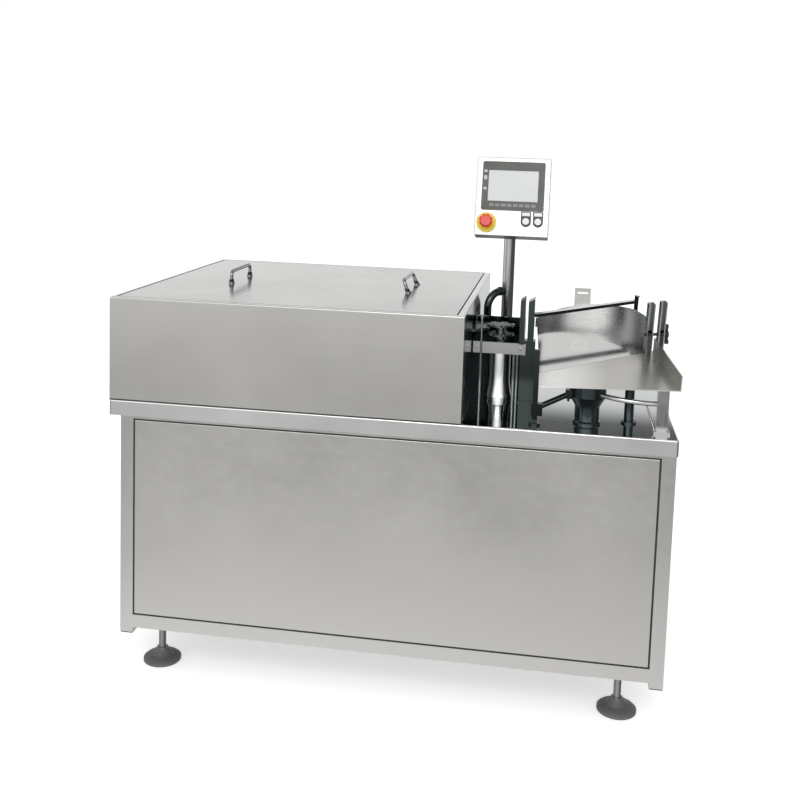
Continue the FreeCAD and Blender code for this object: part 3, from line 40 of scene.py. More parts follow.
# Heights used by more than one piece, in metres
TABLE_TOP = 0.765
FOOT_PAD_TOP = 0.0375
HOPPER_ORIGIN = Vector((0.524, -0.388, 0.906))
HOPPER_YAW = math.radians(3.4)
HOPPER_TILT = math.radians(14.0)
PANEL_ORIGIN = Vector((0.286, 0.050, 1.327))
PANEL_TILT = math.radians(15.0)
BUTTON_V = -0.076
CASE_HALF_WIDTH = 0.1105
CASE_TOP = 1.4429
LID_TOP = 1.046
HANDLE_LEAN = -0.015 / 0.036
SCREW_HEIGHT = 0.0022
KEY_PLACE = (0.2, -3.6, 3.3)
KEY_TARGET = (0.0, 0.0, 0.8)
KEY_SIZE = (2.2, 1.4)
KEY_POWER = 34.0

# Brightness of the studio in reflections, by height of the direction (-1 down, 1 up)
ROOM_PEAK = 1.6
FRONT_ROOM = ((-1.0, 0.30), (-0.62, 1.20), (-0.48, 1.30), (-0.41, 0.86), (-0.34, 0.10),
              (-0.25, 0.02), (-0.20, 0.40), (-0.14, 1.08), (-0.05, 0.80), (0.05, 1.2),
              (0.30, 1.3), (0.45, 1.5), (0.60, 1.3), (0.75, 0.5), (1.0, 0.4))
BACK_ROOM = ((-1.0, 0.5), (-0.05, 0.7), (0.02, 0.92), (0.17, 0.96), (0.242, 0.90), (0.256, 0.13),
             (0.42, 0.11), (0.55, 0.80), (0.72, 1.10), (0.85, 0.6), (1.0, 0.45))


# ---- node helpers ----

def new_material(name):
    mat = bpy.data.materials.new(name)
    mat.use_nodes = True
    tree = mat.node_tree
    shader = tree.nodes["Principled BSDF"]
    return mat, tree, shader


def add(tree, kind, **values):
    node = tree.nodes.new(kind)
    for key, value in values.items():
        if key in node.inputs:
            node.inputs[key].default_value = value
        else:
            setattr(node, key, value)
    return node


def object_space(tree, scale):
    """Object coordinates stretched by a scale per axis."""
    coords = add(tree, "ShaderNodeTexCoord")
    mapping = add(tree, "ShaderNodeMapping")
    mapping.inputs["Scale"].default_value = scale
    tree.links.new(coords.outputs["Object"], mapping.inputs["Vector"])
    return mapping.outputs["Vector"]


def noise(tree, vector, scale, detail=2.0, rough=0.5):
    node = add(tree, "ShaderNodeTexNoise", Scale=scale, Detail=detail, Roughness=rough)
    tree.links.new(vector, node.inputs["Vector"])
    return node.outputs["Fac"]


def ramp(tree, fac, low, high, value_low=0.0, value_high=1.0):
    """Maps low..high onto value_low..value_high, clamped."""
    node = add(tree, "ShaderNodeMapRange")
    node.inputs["From Min"].default_value = low
    node.inputs["From Max"].default_value = high
    node.inputs["To Min"].default_value = value_low
    node.inputs["To Max"].default_value = value_high
    tree.links.new(fac, node.inputs["Value"])
    return node.outputs["Result"]


def math_node(tree, operation, a, b):
    node = add(tree, "ShaderNodeMath", operation=operation)
    for socket, value in zip(node.inputs, (a, b)):
        if isinstance(value, (int, float)):
            socket.default_value = value
        else:
            tree.links.new(value, socket)
    return node.outputs[0]


def mix_colour(tree, fac, a, b):
    node = add(tree, "ShaderNodeMix", data_type="RGBA")
    for socket, value in ((node.inputs[0], fac), (node.inputs[6], a), (node.inputs[7], b)):
        if isinstance(value, (int, float)):
            socket.default_value = value
        elif isinstance(value, tuple):
            socket.default_value = value + (1.0,) if len(value) == 3 else value
        else:
            tree.links.new(value, socket)
    return node.outputs[2]


def bump(tree, shader, height, strength, distance):
    node = add(tree, "ShaderNodeBump", Strength=strength, Distance=distance)
    tree.links.new(height, node.inputs["Height"])
    tree.links.new(node.outputs["Normal"], shader.inputs["Normal"])
    return node


# ---- materials ----

def steel(name, colour, roughness, grain=(3.0, 260.0, 260.0), vary=0.06, grain_depth=0.00002, cloud=0.04):
    """Stainless steel: brushed grain along the short-scale axis, cloudy tone and roughness changes."""
    mat, tree, shader = new_material(name)
    shader.inputs["Metallic"].default_value = 1.0
    lines = noise(tree, object_space(tree, grain), 1.0, 3.0, 0.6)
    clouds = noise(tree, object_space(tree, (1.0, 1.0, 1.0)), 3.2, 4.0, 0.55)
    marks = noise(tree, object_space(tree, (1.0, 1.0, 1.0)), 42.0, 3.0, 0.6)
    tone = math_node(tree, "ADD", ramp(tree, clouds, 0.25, 0.75, -cloud, cloud),
                     ramp(tree, lines, 0.2, 0.8, -0.012, 0.012))
    dark = tuple(c * 0.80 for c in colour)
    bright = tuple(min(1.0, c * 1.20) for c in colour)
    level = math_node(tree, "ADD", tone, 0.5)
    tree.links.new(mix_colour(tree, level, dark, bright), shader.inputs["Base Color"])
    rough = math_node(tree, "ADD", ramp(tree, clouds, 0.3, 0.7, roughness - vary / 2, roughness + vary / 2),
                      ramp(tree, marks, 0.45, 0.75, 0.0, vary * 0.5))
    rough = math_node(tree, "ADD", rough, ramp(tree, lines, 0.2, 0.8, -vary / 3, vary / 3))
    tree.links.new(rough, shader.inputs["Roughness"])
    bump(tree, shader, lines, 0.35, grain_depth)
    return mat


def lit_and_shaded_sides(name, axis, side, first, second):
    """One steel on faces that look along axis (side +1 or -1), another on the rest: lit and shaded copies of
    one steel, painted light and shade by facing.
    """
    mat, tree, shader = new_material(name)
    coords = add(tree, "ShaderNodeTexCoord")
    parts = add(tree, "ShaderNodeSeparateXYZ")
    tree.links.new(coords.outputs["Normal"], parts.inputs[0])
    facing = math_node(tree, "MULTIPLY", parts.outputs[axis], side)
    fac = ramp(tree, facing, 0.85, 0.95)
    tree.nodes.remove(shader)
    output = tree.nodes["Material Output"]
    mixer = add(tree, "ShaderNodeMixShader")
    tree.links.new(fac, mixer.inputs[0])
    for index, source in ((1, second), (2, first)):
        tree.links.new(steel_shader(tree, *source), mixer.inputs[index])
    tree.links.new(mixer.outputs[0], output.inputs["Surface"])
    return mat


def add_painted_light_side(mat, axis, side, source):
    """Lays another steel over a material on the faces that look along axis: a painted lit copy on those faces.
    """
    tree = mat.node_tree
    surface = tree.nodes["Material Output"].inputs["Surface"]
    below = surface.links[0].from_socket
    parts = next(node for node in tree.nodes if node.bl_idname == "ShaderNodeSeparateXYZ")
    mixer = add(tree, "ShaderNodeMixShader")
    facing = math_node(tree, "MULTIPLY", parts.outputs[axis], side)
    tree.links.new(ramp(tree, facing, 0.85, 0.95), mixer.inputs[0])
    tree.links.new(below, mixer.inputs[1])
    tree.links.new(steel_shader(tree, *source), mixer.inputs[2])
    tree.links.new(mixer.outputs[0], surface)


def steel_shader(tree, colour, roughness, grain, vary, cloud):
    """The same steel as steel(), as one shader inside a larger tree."""
    shader = add(tree, "ShaderNodeBsdfPrincipled")
    shader.inputs["Metallic"].default_value = 1.0
    lines = noise(tree, object_space(tree, grain), 1.0, 3.0, 0.6)
    clouds = noise(tree, object_space(tree, (1.0, 1.0, 1.0)), 3.2, 4.0, 0.55)
    tone = math_node(tree, "ADD", ramp(tree, clouds, 0.25, 0.75, -cloud, cloud),
                     ramp(tree, lines, 0.2, 0.8, -0.012, 0.012))
    level = math_node(tree, "ADD", tone, 0.5)
    dark = tuple(c * 0.80 for c in colour)
    bright = tuple(min(1.0, c * 1.20) for c in colour)
    tree.links.new(mix_colour(tree, level, dark, bright), shader.inputs["Base Color"])
    rough = ramp(tree, clouds, 0.3, 0.7, roughness - vary / 2, roughness + vary / 2)
    rough = math_node(tree, "ADD", rough, ramp(tree, lines, 0.2, 0.8, -vary / 3, vary / 3))
    tree.links.new(rough, shader.inputs["Roughness"])
    bump(tree, shader, lines, 0.3, 0.00002)
    return shader.outputs["BSDF"]


def painted_highlight_steel(name, bright, dark, edges, roughness, grain, painted_glow):
    """Polished round bar with a painted highlight: base colour bright where it faces the viewer, dark towards
    its sides, and a painted glow on the same bright part.
    """
    mat, tree, shader = new_material(name)
    shader.inputs["Metallic"].default_value = 1.0
    weight = add(tree, "ShaderNodeLayerWeight", Blend=0.5)
    lines = noise(tree, object_space(tree, grain), 1.0, 3.0, 0.6)
    fac = ramp(tree, weight.outputs["Facing"], edges[0], edges[1])
    tone = mix_colour(tree, fac, bright, dark)
    streaks = mix_colour(tree, ramp(tree, lines, 0.25, 0.75, 0.0, 0.16), tone, (0.30, 0.32, 0.32))
    tree.links.new(streaks, shader.inputs["Base Color"])
    tree.links.new(mix_colour(tree, fac, painted_glow, (0.0, 0.0, 0.0)), shader.inputs["Emission Color"])
    shader.inputs["Emission Strength"].default_value = 1.0
    tree.links.new(ramp(tree, lines, 0.3, 0.7, roughness - 0.02, roughness + 0.03), shader.inputs["Roughness"])
    bump(tree, shader, lines, 0.25, 0.000004)
    return mat


def side_shaded_steel(name, left, middle, right, roughness, grain):
    """Polished bar with painted light and shade: its tone runs from its left side to its right side by which
    way each face turns.
    """
    mat, tree, shader = new_material(name)
    shader.inputs["Metallic"].default_value = 1.0
    coords = add(tree, "ShaderNodeTexCoord")
    parts = add(tree, "ShaderNodeSeparateXYZ")
    tree.links.new(coords.outputs["Normal"], parts.inputs[0])
    lines = noise(tree, object_space(tree, grain), 1.0, 3.0, 0.6)
    first = mix_colour(tree, ramp(tree, parts.outputs[0], -0.9, -0.1), left, middle)
    tone = mix_colour(tree, ramp(tree, parts.outputs[0], 0.10, 0.75), first, right)
    streaks = mix_colour(tree, ramp(tree, lines, 0.25, 0.75, 0.0, 0.2), tone, (0.34, 0.35, 0.35))
    tree.links.new(streaks, shader.inputs["Base Color"])
    tree.links.new(ramp(tree, lines, 0.3, 0.7, roughness - 0.03, roughness + 0.05), shader.inputs["Roughness"])
    bump(tree, shader, lines, 0.25, 0.000006)
    return mat


def painted_drift_steel(name, start, start_colour, end, end_colour, roughness, grain):
    """Brushed sheet whose tone drifts along X between two places: painted light fading into painted shade."""
    mat, tree, shader = new_material(name)
    shader.inputs["Metallic"].default_value = 1.0
    coords = add(tree, "ShaderNodeTexCoord")
    parts = add(tree, "ShaderNodeSeparateXYZ")
    tree.links.new(coords.outputs["Object"], parts.inputs[0])
    lines = noise(tree, object_space(tree, grain), 1.0, 3.0, 0.6)
    clouds = noise(tree, object_space(tree, (1.0, 1.0, 1.0)), 9.0, 4.0, 0.55)
    place = math_node(tree, "ADD", ramp(tree, parts.outputs[0], start, end),
                      ramp(tree, clouds, 0.2, 0.8, -0.12, 0.12))
    tone = mix_colour(tree, ramp(tree, place, 0.0, 1.0), start_colour, end_colour)
    tree.links.new(tone, shader.inputs["Base Color"])
    tree.links.new(ramp(tree, lines, 0.2, 0.8, roughness - 0.04, roughness + 0.05), shader.inputs["Roughness"])
    bump(tree, shader, lines, 0.35, 0.00002)
    return mat


def edge_shaded_steel(name, face, rim, roughness, grain):
    """Satin sheet box with painted shade: dark bands at its folded side edges and along its top edge, and dark
    faces underneath.
    """
    mat, tree, shader = new_material(name)
    shader.inputs["Metallic"].default_value = 1.0
    coords = add(tree, "ShaderNodeTexCoord")
    place = add(tree, "ShaderNodeSeparateXYZ")
    tree.links.new(coords.outputs["Object"], place.inputs[0])
    turned = add(tree, "ShaderNodeSeparateXYZ")
    tree.links.new(coords.outputs["Normal"], turned.inputs[0])
    lines = noise(tree, object_space(tree, grain), 1.0, 3.0, 0.6)
    across = math_node(tree, "ABSOLUTE", math_node(tree, "SUBTRACT", place.outputs[0], PANEL_ORIGIN.x), 0.0)
    sides = ramp(tree, across, CASE_HALF_WIDTH - 0.0022, CASE_HALF_WIDTH - 0.0010)
    top = ramp(tree, place.outputs[2], CASE_TOP - 0.0022, CASE_TOP - 0.0010)
    under = ramp(tree, turned.outputs[2], -0.95, -0.85, 1.0, 0.0)
    fac = math_node(tree, "MAXIMUM", math_node(tree, "MAXIMUM", sides, top), under)
    tone = mix_colour(tree, ramp(tree, lines, 0.25, 0.75, 0.0, 0.08), face, rim)
    tree.links.new(mix_colour(tree, fac, tone, rim), shader.inputs["Base Color"])
    tree.links.new(ramp(tree, lines, 0.3, 0.7, roughness - 0.03, roughness + 0.04), shader.inputs["Roughness"])
    bump(tree, shader, lines, 0.3, 0.00002)
    return mat


def foot_material(name):
    """Grey moulded pad below, bright steel stem above."""
    mat, tree, shader = new_material(name)
    coords = add(tree, "ShaderNodeTexCoord")
    parts = add(tree, "ShaderNodeSeparateXYZ")
    tree.links.new(coords.outputs["Object"], parts.inputs[0])
    fine = noise(tree, object_space(tree, (1.0, 1.0, 1.0)), 620.0, 2.0, 0.6)
    soft = noise(tree, object_space(tree, (1.0, 1.0, 1.0)), 24.0, 3.0, 0.5)
    is_stem = ramp(tree, parts.outputs[2], FOOT_PAD_TOP - 0.001, FOOT_PAD_TOP + 0.001)
    pad = mix_colour(tree, soft, (0.095, 0.098, 0.098), (0.135, 0.138, 0.138))
    stem = mix_colour(tree, fine, (0.27, 0.27, 0.27), (0.43, 0.43, 0.42))
    tree.links.new(mix_colour(tree, is_stem, pad, stem), shader.inputs["Base Color"])
    tree.links.new(ramp(tree, is_stem, 0.0, 1.0, 0.0, 0.9), shader.inputs["Metallic"])
    wear = ramp(tree, soft, 0.3, 0.7, -0.05, 0.06)
    rough = math_node(tree, "ADD", ramp(tree, is_stem, 0.0, 1.0, 0.50, 0.34), wear)
    tree.links.new(rough, shader.inputs["Roughness"])
    bump(tree, shader, fine, 0.4, 0.00004)
    return mat


def plastic(name, colour, roughness, grain_scale=900.0, depth=0.00003, speck=0.06):
    """Moulded plastic: fine texture, slight tone change, worn roughness."""
    mat, tree, shader = new_material(name)
    fine = noise(tree, object_space(tree, (1.0, 1.0, 1.0)), grain_scale, 2.0, 0.6)
    soft = noise(tree, object_space(tree, (1.0, 1.0, 1.0)), 22.0, 3.0, 0.5)
    dark = tuple(c * (1.0 - speck) for c in colour)
    bright = tuple(min(1.0, c * (1.0 + speck) + 0.002) for c in colour)
    tree.links.new(mix_colour(tree, soft, dark, bright), shader.inputs["Base Color"])
    tree.links.new(ramp(tree, soft, 0.3, 0.7, roughness - 0.05, roughness + 0.07), shader.inputs["Roughness"])
    bump(tree, shader, fine, 0.4, depth)
    return mat


WARM = (0.66, 0.65, 0.62)
COOL = (0.55, 0.57, 0.57)
ALONG_X = (3.0, 260.0, 260.0)
ALONG_Y = (260.0, 3.0, 260.0)
ALONG_Z = (260.0, 260.0, 3.0)

cladding = steel("cladding_steel", WARM, 0.32, ALONG_X)
frame_steel = steel("frame_steel", (0.68, 0.67, 0.65), 0.30, ALONG_X)
lid_steel = steel("lid_steel", (0.50, 0.49, 0.475), 0.15, ALONG_X, cloud=0.09)
# cover: the cooler, smoother copy on the +X side is painted shade, and the brighter copy on the top faces is
# painted light
cover_steel = lit_and_shaded_sides("cover_steel", 0, 1, ((0.70, 0.76, 0.76), 0.10, ALONG_Y, 0.04, 0.04),
                            (WARM, 0.32, ALONG_X, 0.06, 0.04))
add_painted_light_side(cover_steel, 2, 1, ((0.92, 0.93, 0.92), 0.22, ALONG_X, 0.05, 0.04))
# table: the top keeps polished steel; every other face, the rim included, gets a much brighter copy as painted
# light
table_steel = lit_and_shaded_sides("table_steel", 2, 1, (COOL, 0.05, ALONG_X, 0.03, 0.04),
                            ((0.92, 0.91, 0.885), 0.30, ALONG_X, 0.06, 0.03))
mirror_steel = steel("mirror_steel", COOL, 0.08, ALONG_Z, vary=0.04, grain_depth=0.000004)
deck_steel = steel("deck_steel", (0.61, 0.61, 0.60), 0.11, ALONG_X, vary=0.04, grain_depth=0.000006)
# hopper guard: painted shade on the faces turned left and right, painted light on the faces turned to the front
guard_steel = side_shaded_steel("guard_steel", (0.37, 0.38, 0.37), (1.0, 1.0, 0.99), (0.62, 0.63, 0.62), 0.24,
                          ALONG_X)
bar_steel = steel("bar_steel", (0.62, 0.62, 0.61), 0.20, ALONG_Z)
handle_steel = steel("handle_steel", (0.36, 0.37, 0.36), 0.22, ALONG_Y)
# hopper apron: painted light at lower X, painted shade towards higher X
brushed_apron = painted_drift_steel("brushed_apron", 0.42, (0.94, 0.93, 0.90), 0.57, (0.53, 0.52, 0.495), 0.28,
                            ALONG_X)
machined = steel("machined_steel", (0.60, 0.60, 0.59), 0.24, (40.0, 40.0, 40.0))
wheel_steel = steel("wheel_steel", (0.22, 0.25, 0.25), 0.28, (40.0, 40.0, 40.0))
# star column: painted highlight and painted glow down its middle, painted shade towards its sides
column_steel = painted_highlight_steel("column_steel", (0.95, 0.95, 0.94), (0.25, 0.27, 0.27), (0.034, 0.13), 0.14,
                            ALONG_Z, (0.36, 0.36, 0.36))
# panel pole: painted light on its left side, painted shade on its right side
pole_steel = side_shaded_steel("pole_steel", (0.68, 0.69, 0.68), (0.53, 0.53, 0.52), (0.135, 0.145, 0.145), 0.20,
                         ALONG_Z)
dark_steel = steel("dark_polished_steel", (0.095, 0.120, 0.124), 0.22, ALONG_Z, grain_depth=0.000004)
shade_steel = steel("shade_steel", (0.070, 0.085, 0.085), 0.16, ALONG_Z, grain_depth=0.000004)
guard_shade = steel("guard_shade", (0.013, 0.018, 0.018), 0.14, ALONG_X, grain_depth=0.000004)
# channel posts: painted light and shade across their sides by normal direction
post_steel = side_shaded_steel("post_steel", (0.10, 0.12, 0.12), (0.30, 0.32, 0.31), (0.16, 0.18, 0.18), 0.18,
                         ALONG_Z)
# guide rail: the bright copy on its top is painted light, the near-black copy on its sides and underside is
# painted shade
rail_steel = lit_and_shaded_sides("rail_steel", 2, 1, ((0.80, 0.80, 0.79), 0.22, ALONG_X, 0.04, 0.03),
                           ((0.05, 0.06, 0.06), 0.20, ALONG_X, 0.04, 0.03))
bracket_steel = steel("bracket_steel", (0.82, 0.81, 0.78), 0.34, ALONG_X)
box_steel = edge_shaded_steel("control_box_steel", (0.52, 0.51, 0.495), (0.16, 0.165, 0.165), 0.36, ALONG_X)
bezel_plastic = plastic("bezel_plastic", (0.086, 0.086, 0.082), 0.42)
screen_glass = plastic("screen_face", (0.56, 0.58, 0.58), 0.22, depth=0.000002, speck=0.02)
key_plastic = plastic("key_membrane", (0.26, 0.265, 0.25), 0.5)
yellow_plastic = plastic("yellow_plastic", (0.82, 0.62, 0.05), 0.38)
red_plastic = plastic("red_plastic", (0.70, 0.035, 0.025), 0.26)
black_plastic = plastic("black_plastic", (0.012, 0.012, 0.014), 0.34)
white_plastic = plastic("white_plastic", (0.80, 0.80, 0.79), 0.32)
machine_paint = plastic("machine_paint", (0.16, 0.20, 0.24), 0.38, 300.0, 0.00006)
mark_plastic = plastic("mark_plastic", (0.52, 0.53, 0.52), 0.45)
# dark bead: painted shade in the cover joint and in the front panel groove
painted_shade_bead = plastic("painted_shade_bead", (0.030, 0.031, 0.031), 0.55, 700.0, 0.00006)
foot_finish = foot_material("foot_finish")

FINISHES = {
    "base_frame": frame_steel, "front_panel": cladding, "back_panel": cladding, "side_panels": cladding,
    "cover_box": cover_steel, "cover_lid": lid_steel, "table_pan": table_steel, "lid_handles": handle_steel,
    "hopper_apron": brushed_apron, "hopper_deck": deck_steel, "hopper_guard": guard_steel,
    "star_column": column_steel, "pedestal": dark_steel, "guide_bar": bar_steel, "guide_bar_rods": mirror_steel,
    "star_back_guard": guard_shade, "transfer_housing": mirror_steel, "spray_manifold": mirror_steel,
    "star_wheel": wheel_steel, "transfer_wheel": wheel_steel, "leg_plugs": black_plastic,
    "infeed_post": shade_steel, "guide_rail": rail_steel, "channel_posts": post_steel,
    "rear_bracket": bracket_steel, "brace_post_left": shade_steel, "brace_arm_left": shade_steel,
    "brace_column_back": dark_steel,
    "panel_pole": pole_steel, "conduit_elbow": shade_steel,
    "hmi_case": box_steel, "hmi_bezel": bezel_plastic, "hmi_screen": screen_glass, "hmi_keys": key_plastic,
    "estop_ring": yellow_plastic, "estop_mushroom": red_plastic, "button_holders": black_plastic,
    "button_left": white_plastic, "button_right": white_plastic, "clamp_knob": black_plastic,
    "drive_unit": machine_paint, "water_pump": machine_paint, "electrical_box": machine_paint,
    "foot_front_left": foot_finish, "foot_back_left": foot_finish, "foot_front_right": foot_finish,
    "foot_back_right": foot_finish,
}
BAR_NODES = ("brace_post_right", "brace_ring", "swivel_collar")
for node_name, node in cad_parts.items():
    finish = FINISHES.get(node_name, bar_steel if node_name in BAR_NODES else machined)
    node.data.materials.clear()
    node.data.materials.append(finish)


# ---- small pieces ----

def link_mesh(name, verts, faces, material):
    mesh = bpy.data.meshes.new(name)
    mesh.from_pydata([tuple(v) for v in verts], [], faces)
    build = bmesh.new()
    build.from_mesh(mesh)
    bmesh.ops.recalc_face_normals(build, faces=build.faces)
    build.to_mesh(mesh)
    build.free()
    piece = bpy.data.objects.new(name, mesh)
    bpy.context.scene.collection.objects.link(piece)
    mesh.materials.append(material)
    return piece


def fix_to(body, piece):
    """Makes a piece ride on a CAD body."""
    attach(piece, body)


def band_faces(rings, sides, closed):
    """Quads between neighbouring rings of points; closed joins the last ring to the first."""
    faces = []
    for ring in range(rings if closed else rings - 1):
        after = (ring + 1) % rings
        for step in range(sides):
            nxt = (step + 1) % sides
            faces.append((ring * sides + step, ring * sides + nxt, after * sides + nxt, after * sides + step))
    return faces


def ring_sweep(name, corners, section, material):
    """Sweeps a closed section round a rectangle; a section point is (outward, up) from each corner."""
    verts = []
    signs = ((-1, -1), (1, -1), (1, 1), (-1, 1))
    for (x, y, z), (sx, sy) in zip(corners, signs):
        for outward, up in section:
            verts.append((x + sx * outward, y + sy * outward, z + up))
    return link_mesh(name, verts, band_faces(4, len(section), True), material)


def rounded_plate(width, height, radius, steps=5):
    """Outline of a rounded rectangle about its centre."""
    points = []
    for index, (sx, sy) in enumerate(((1, 1), (-1, 1), (-1, -1), (1, -1))):
        cx, cy = sx * (width / 2 - radius), sy * (height / 2 - radius)
        for step in range(steps + 1):
            angle = math.radians(90 * index + 90 * step / steps)
            points.append((cx + radius * math.cos(angle), cy + radius * math.sin(angle)))
    return points


def crowned(name, outline, place, thickness, edge, material):
    """A thin pad with a chamfered top edge; place maps (x, y, height) to the shared frame."""
    verts = []
    count = len(outline)
    levels = ((1.0, 0.0), (1.0, thickness - edge), (None, thickness))
    for scale, height in levels:
        for x, y in outline:
            reach = math.hypot(x, y)
            keep = 1.0 if scale else (reach - edge) / reach
            verts.append(place(x * keep, y * keep, height))
    faces = band_faces(len(levels), count, False)
    faces.append(tuple(range(count - 1, -1, -1)))
    faces.append(tuple(range(2 * count, 3 * count)))
    return link_mesh(name, verts, faces, material)


def on_panel(u, v, lift):
    """Maps a point on the tilted control face to the shared frame; height is towards the operator."""
    turn = Matrix.Rotation(-PANEL_TILT, 3, "X")
    return lambda x, y, height: PANEL_ORIGIN + turn @ Vector((u + x, -(height + lift), v + y))


def in_hopper(u, v, w):
    turn = Matrix.Rotation(HOPPER_YAW, 3, "Z") @ Matrix.Rotation(HOPPER_TILT, 3, "X")
    return HOPPER_ORIGIN + turn @ Vector((u, v, w))


def cover_seam():
    """Dark bead between the cover and the table: painted shade along the joint."""
    x0, x1, y0, y1 = -0.749, 0.204, -0.4985, 0.430
    corners = [(x0, y0, TABLE_TOP), (x1, y0, TABLE_TOP), (x1, y1, TABLE_TOP), (x0, y1, TABLE_TOP)]
    section = [(-0.001, 0.0), (0.0004, 0.0), (0.0007, 0.0008)]
    section += [(0.0007, 0.0020), (0.0004, 0.0027), (-0.001, 0.0027)]
    fix_to("cabinet", ring_sweep("cover_seam", corners, section, painted_shade_bead))


def panel_groove_shade():
    """Black bead in the groove round the front panel, bonded to the cabinet frame: painted shade filling the
    gap.
    """
    x0, x1, z0, z1 = -0.6829, 0.7109, 0.1611, 0.7149
    front, back, width, edge = -0.4903, -0.4866, 0.0034, 0.0007
    section = [(0.0, back), (0.0, front + edge), (edge, front), (width - edge, front), (width, front + edge)]
    section.append((width, back))
    verts = []
    for x, z, right, up in ((x0, z0, 1, 1), (x1, z0, -1, 1), (x1, z1, -1, -1), (x0, z1, 1, -1)):
        verts += [(x + right * inward, y, z + up * inward) for inward, y in section]
    bead = link_mesh("panel_groove_shade", verts, band_faces(4, len(section), True), painted_shade_bead)
    fix_to("cabinet", bead)


def button_labels():
    """Blank white inserts in the two button holders."""
    for side, u in (("left", 0.043), ("right", 0.079)):
        outline = rounded_plate(0.0235, 0.0105, 0.0015)
        place = on_panel(u, BUTTON_V + 0.0225, 0.0029)
        label = crowned("label_" + side, outline, place, 0.0006, 0.0002, white_plastic)
        fix_to("control_head", label)


def bezel_marks():
    """Blank light marks down the left side of the bezel."""
    for index, v in enumerate((0.088, 0.068, 0.034)):
        height = 0.013 if index == 1 else 0.008
        place = on_panel(-0.0845, v - 0.012, 0.0039)
        outline = rounded_plate(0.0095, height, 0.0015)
        mark = crowned("bezel_mark_%d" % index, outline, place, 0.0005, 0.0002, mark_plastic)
        fix_to("control_head", mark)


def screw_head(name, centre, axis, radius, height):
    """A domed screw head with a hexagonal recess, fixed to the cabinet."""
    normal = Vector(axis).normalized()
    side = normal.orthogonal().normalized()
    other = normal.cross(side)
    rings = ((1.0, 0.0), (1.0, 0.55), (0.86, 0.85), (0.60, 1.0), (0.46, 1.0), (0.44, 0.45))
    sides = 18
    verts = []
    for scale, up in rings:
        for step in range(sides):
            angle = 2 * math.pi * step / sides
            reach = radius * scale
            if scale < 0.5:
                reach *= 1.0 - 0.07 * math.cos(6 * angle)
            verts.append(Vector(centre) + side * (reach * math.cos(angle)) + other * (reach * math.sin(angle))
                         + normal * (height * up))
    faces = band_faces(len(rings), sides, False)
    faces.append(tuple(range(sides - 1, -1, -1)))
    faces.append(tuple(range((len(rings) - 1) * sides, len(rings) * sides)))
    fix_to("cabinet", link_mesh(name, verts, faces, mirror_steel))


def screws():
    """Screws on the guide bar, the foot of the right brace post and the rear bracket."""
    for index, x in enumerate((0.218, 0.340)):
        screw_head("guide_bar_screw_%d" % index, (x, -0.234, 0.918), (0, -1, 0), 0.0035, SCREW_HEIGHT)
    for index, x in enumerate((0.6945, 0.7265)):
        screw_head("brace_screw_%d" % index, (x, -0.4505, 0.771), (0, 0, 1), 0.0030, SCREW_HEIGHT)
    back = in_hopper(0.0, 1.0, 0.0) - in_hopper(0.0, 0.0, 0.0)
    for index, (u, w) in enumerate(((-0.012, 0.042), (0.012, 0.042), (-0.012, 0.050), (0.012, 0.050))):
        screw_head("bracket_screw_%d" % index, in_hopper(u, 0.331, w), back, 0.0035, SCREW_HEIGHT)


def handle_ferrules():
    """Dark ferrules round the feet of the two lid handles."""
    rings = ((0.0066, 0.0041), (0.0072, 0.0052), (0.0072, 0.0110))
    rings += ((0.0064, 0.0122), (0.0052, 0.0122), (0.0052, 0.0041))
    sides = 20
    for index, (x, lean) in enumerate(((-0.527, 0.0), (0.006, HANDLE_LEAN))):
        for end, y in enumerate((-0.143, 0.037)):
            verts = []
            for radius, up in rings:
                for step in range(sides):
                    angle = 2 * math.pi * step / sides
                    across, along = radius * math.cos(angle), radius * math.sin(angle)
                    verts.append((x + lean * up + across, y + along, LID_TOP + up))
            name = "handle_ferrule_%d_%d" % (index, end)
            ferrule = link_mesh(name, verts, band_faces(len(rings), sides, True), black_plastic)
            fix_to("lid", ferrule)


cover_seam()
panel_groove_shade()
button_labels()
bezel_marks()
screws()
handle_ferrules()


# ---- stage: floor, light, camera ----

def build_floor():
    mesh = bpy.data.meshes.new("floor")
    size = 14.0
    corners = [(-size, -size, 0), (size, -size, 0), (size, size, 0), (-size, size, 0)]
    mesh.from_pydata(corners, [], [(0, 1, 2, 3)])
    floor = bpy.data.objects.new("floor", mesh)
    bpy.context.scene.collection.objects.link(floor)
    mat, tree, shader = new_material("floor_white")
    tone = noise(tree, object_space(tree, (1.0, 1.0, 1.0)), 1.5, 2.0)
    tree.links.new(mix_colour(tree, tone, (0.93, 0.93, 0.93), (0.96, 0.96, 0.96)), shader.inputs["Base Color"])
    shader.inputs["Roughness"].default_value = 0.8
    shader.inputs["Emission Color"].default_value = (1.0, 1.0, 1.0, 1.0)
    shader.inputs["Emission Strength"].default_value = 0.45
    mesh.materials.append(mat)
    floor.visible_glossy = False


def area_light(name, place, target, size, power):
    light = bpy.data.lights.new(name, "AREA")
    light.shape = "RECTANGLE"
    light.size, light.size_y = size
    light.energy = power
    lamp = bpy.data.objects.new(name, light)
    lamp.location = place
    lamp.rotation_euler = (Vector(target) - Vector(place)).to_track_quat("-Z", "Y").to_euler()
    bpy.context.scene.collection.objects.link(lamp)


def brightness_by_height(tree, height, stops):
    """A grey ramp over the direction's height, from -1 straight down to 1 straight up."""
    colours = add(tree, "ShaderNodeValToRGB")
    tree.links.new(ramp(tree, height, -1.0, 1.0), colours.inputs["Fac"])
    band = colours.color_ramp
    band.elements[0].position = (stops[0][0] + 1) / 2
    band.elements[1].position = (stops[-1][0] + 1) / 2
    band.elements[0].color = (stops[0][1] / ROOM_PEAK,) * 3 + (1.0,)
    band.elements[1].color = (stops[-1][1] / ROOM_PEAK,) * 3 + (1.0,)
    for place, value in stops[1:-1]:
        stop = band.elements.new((place + 1) / 2)
        stop.color = (value / ROOM_PEAK,) * 3 + (1.0,)
    return colours.outputs["Color"]


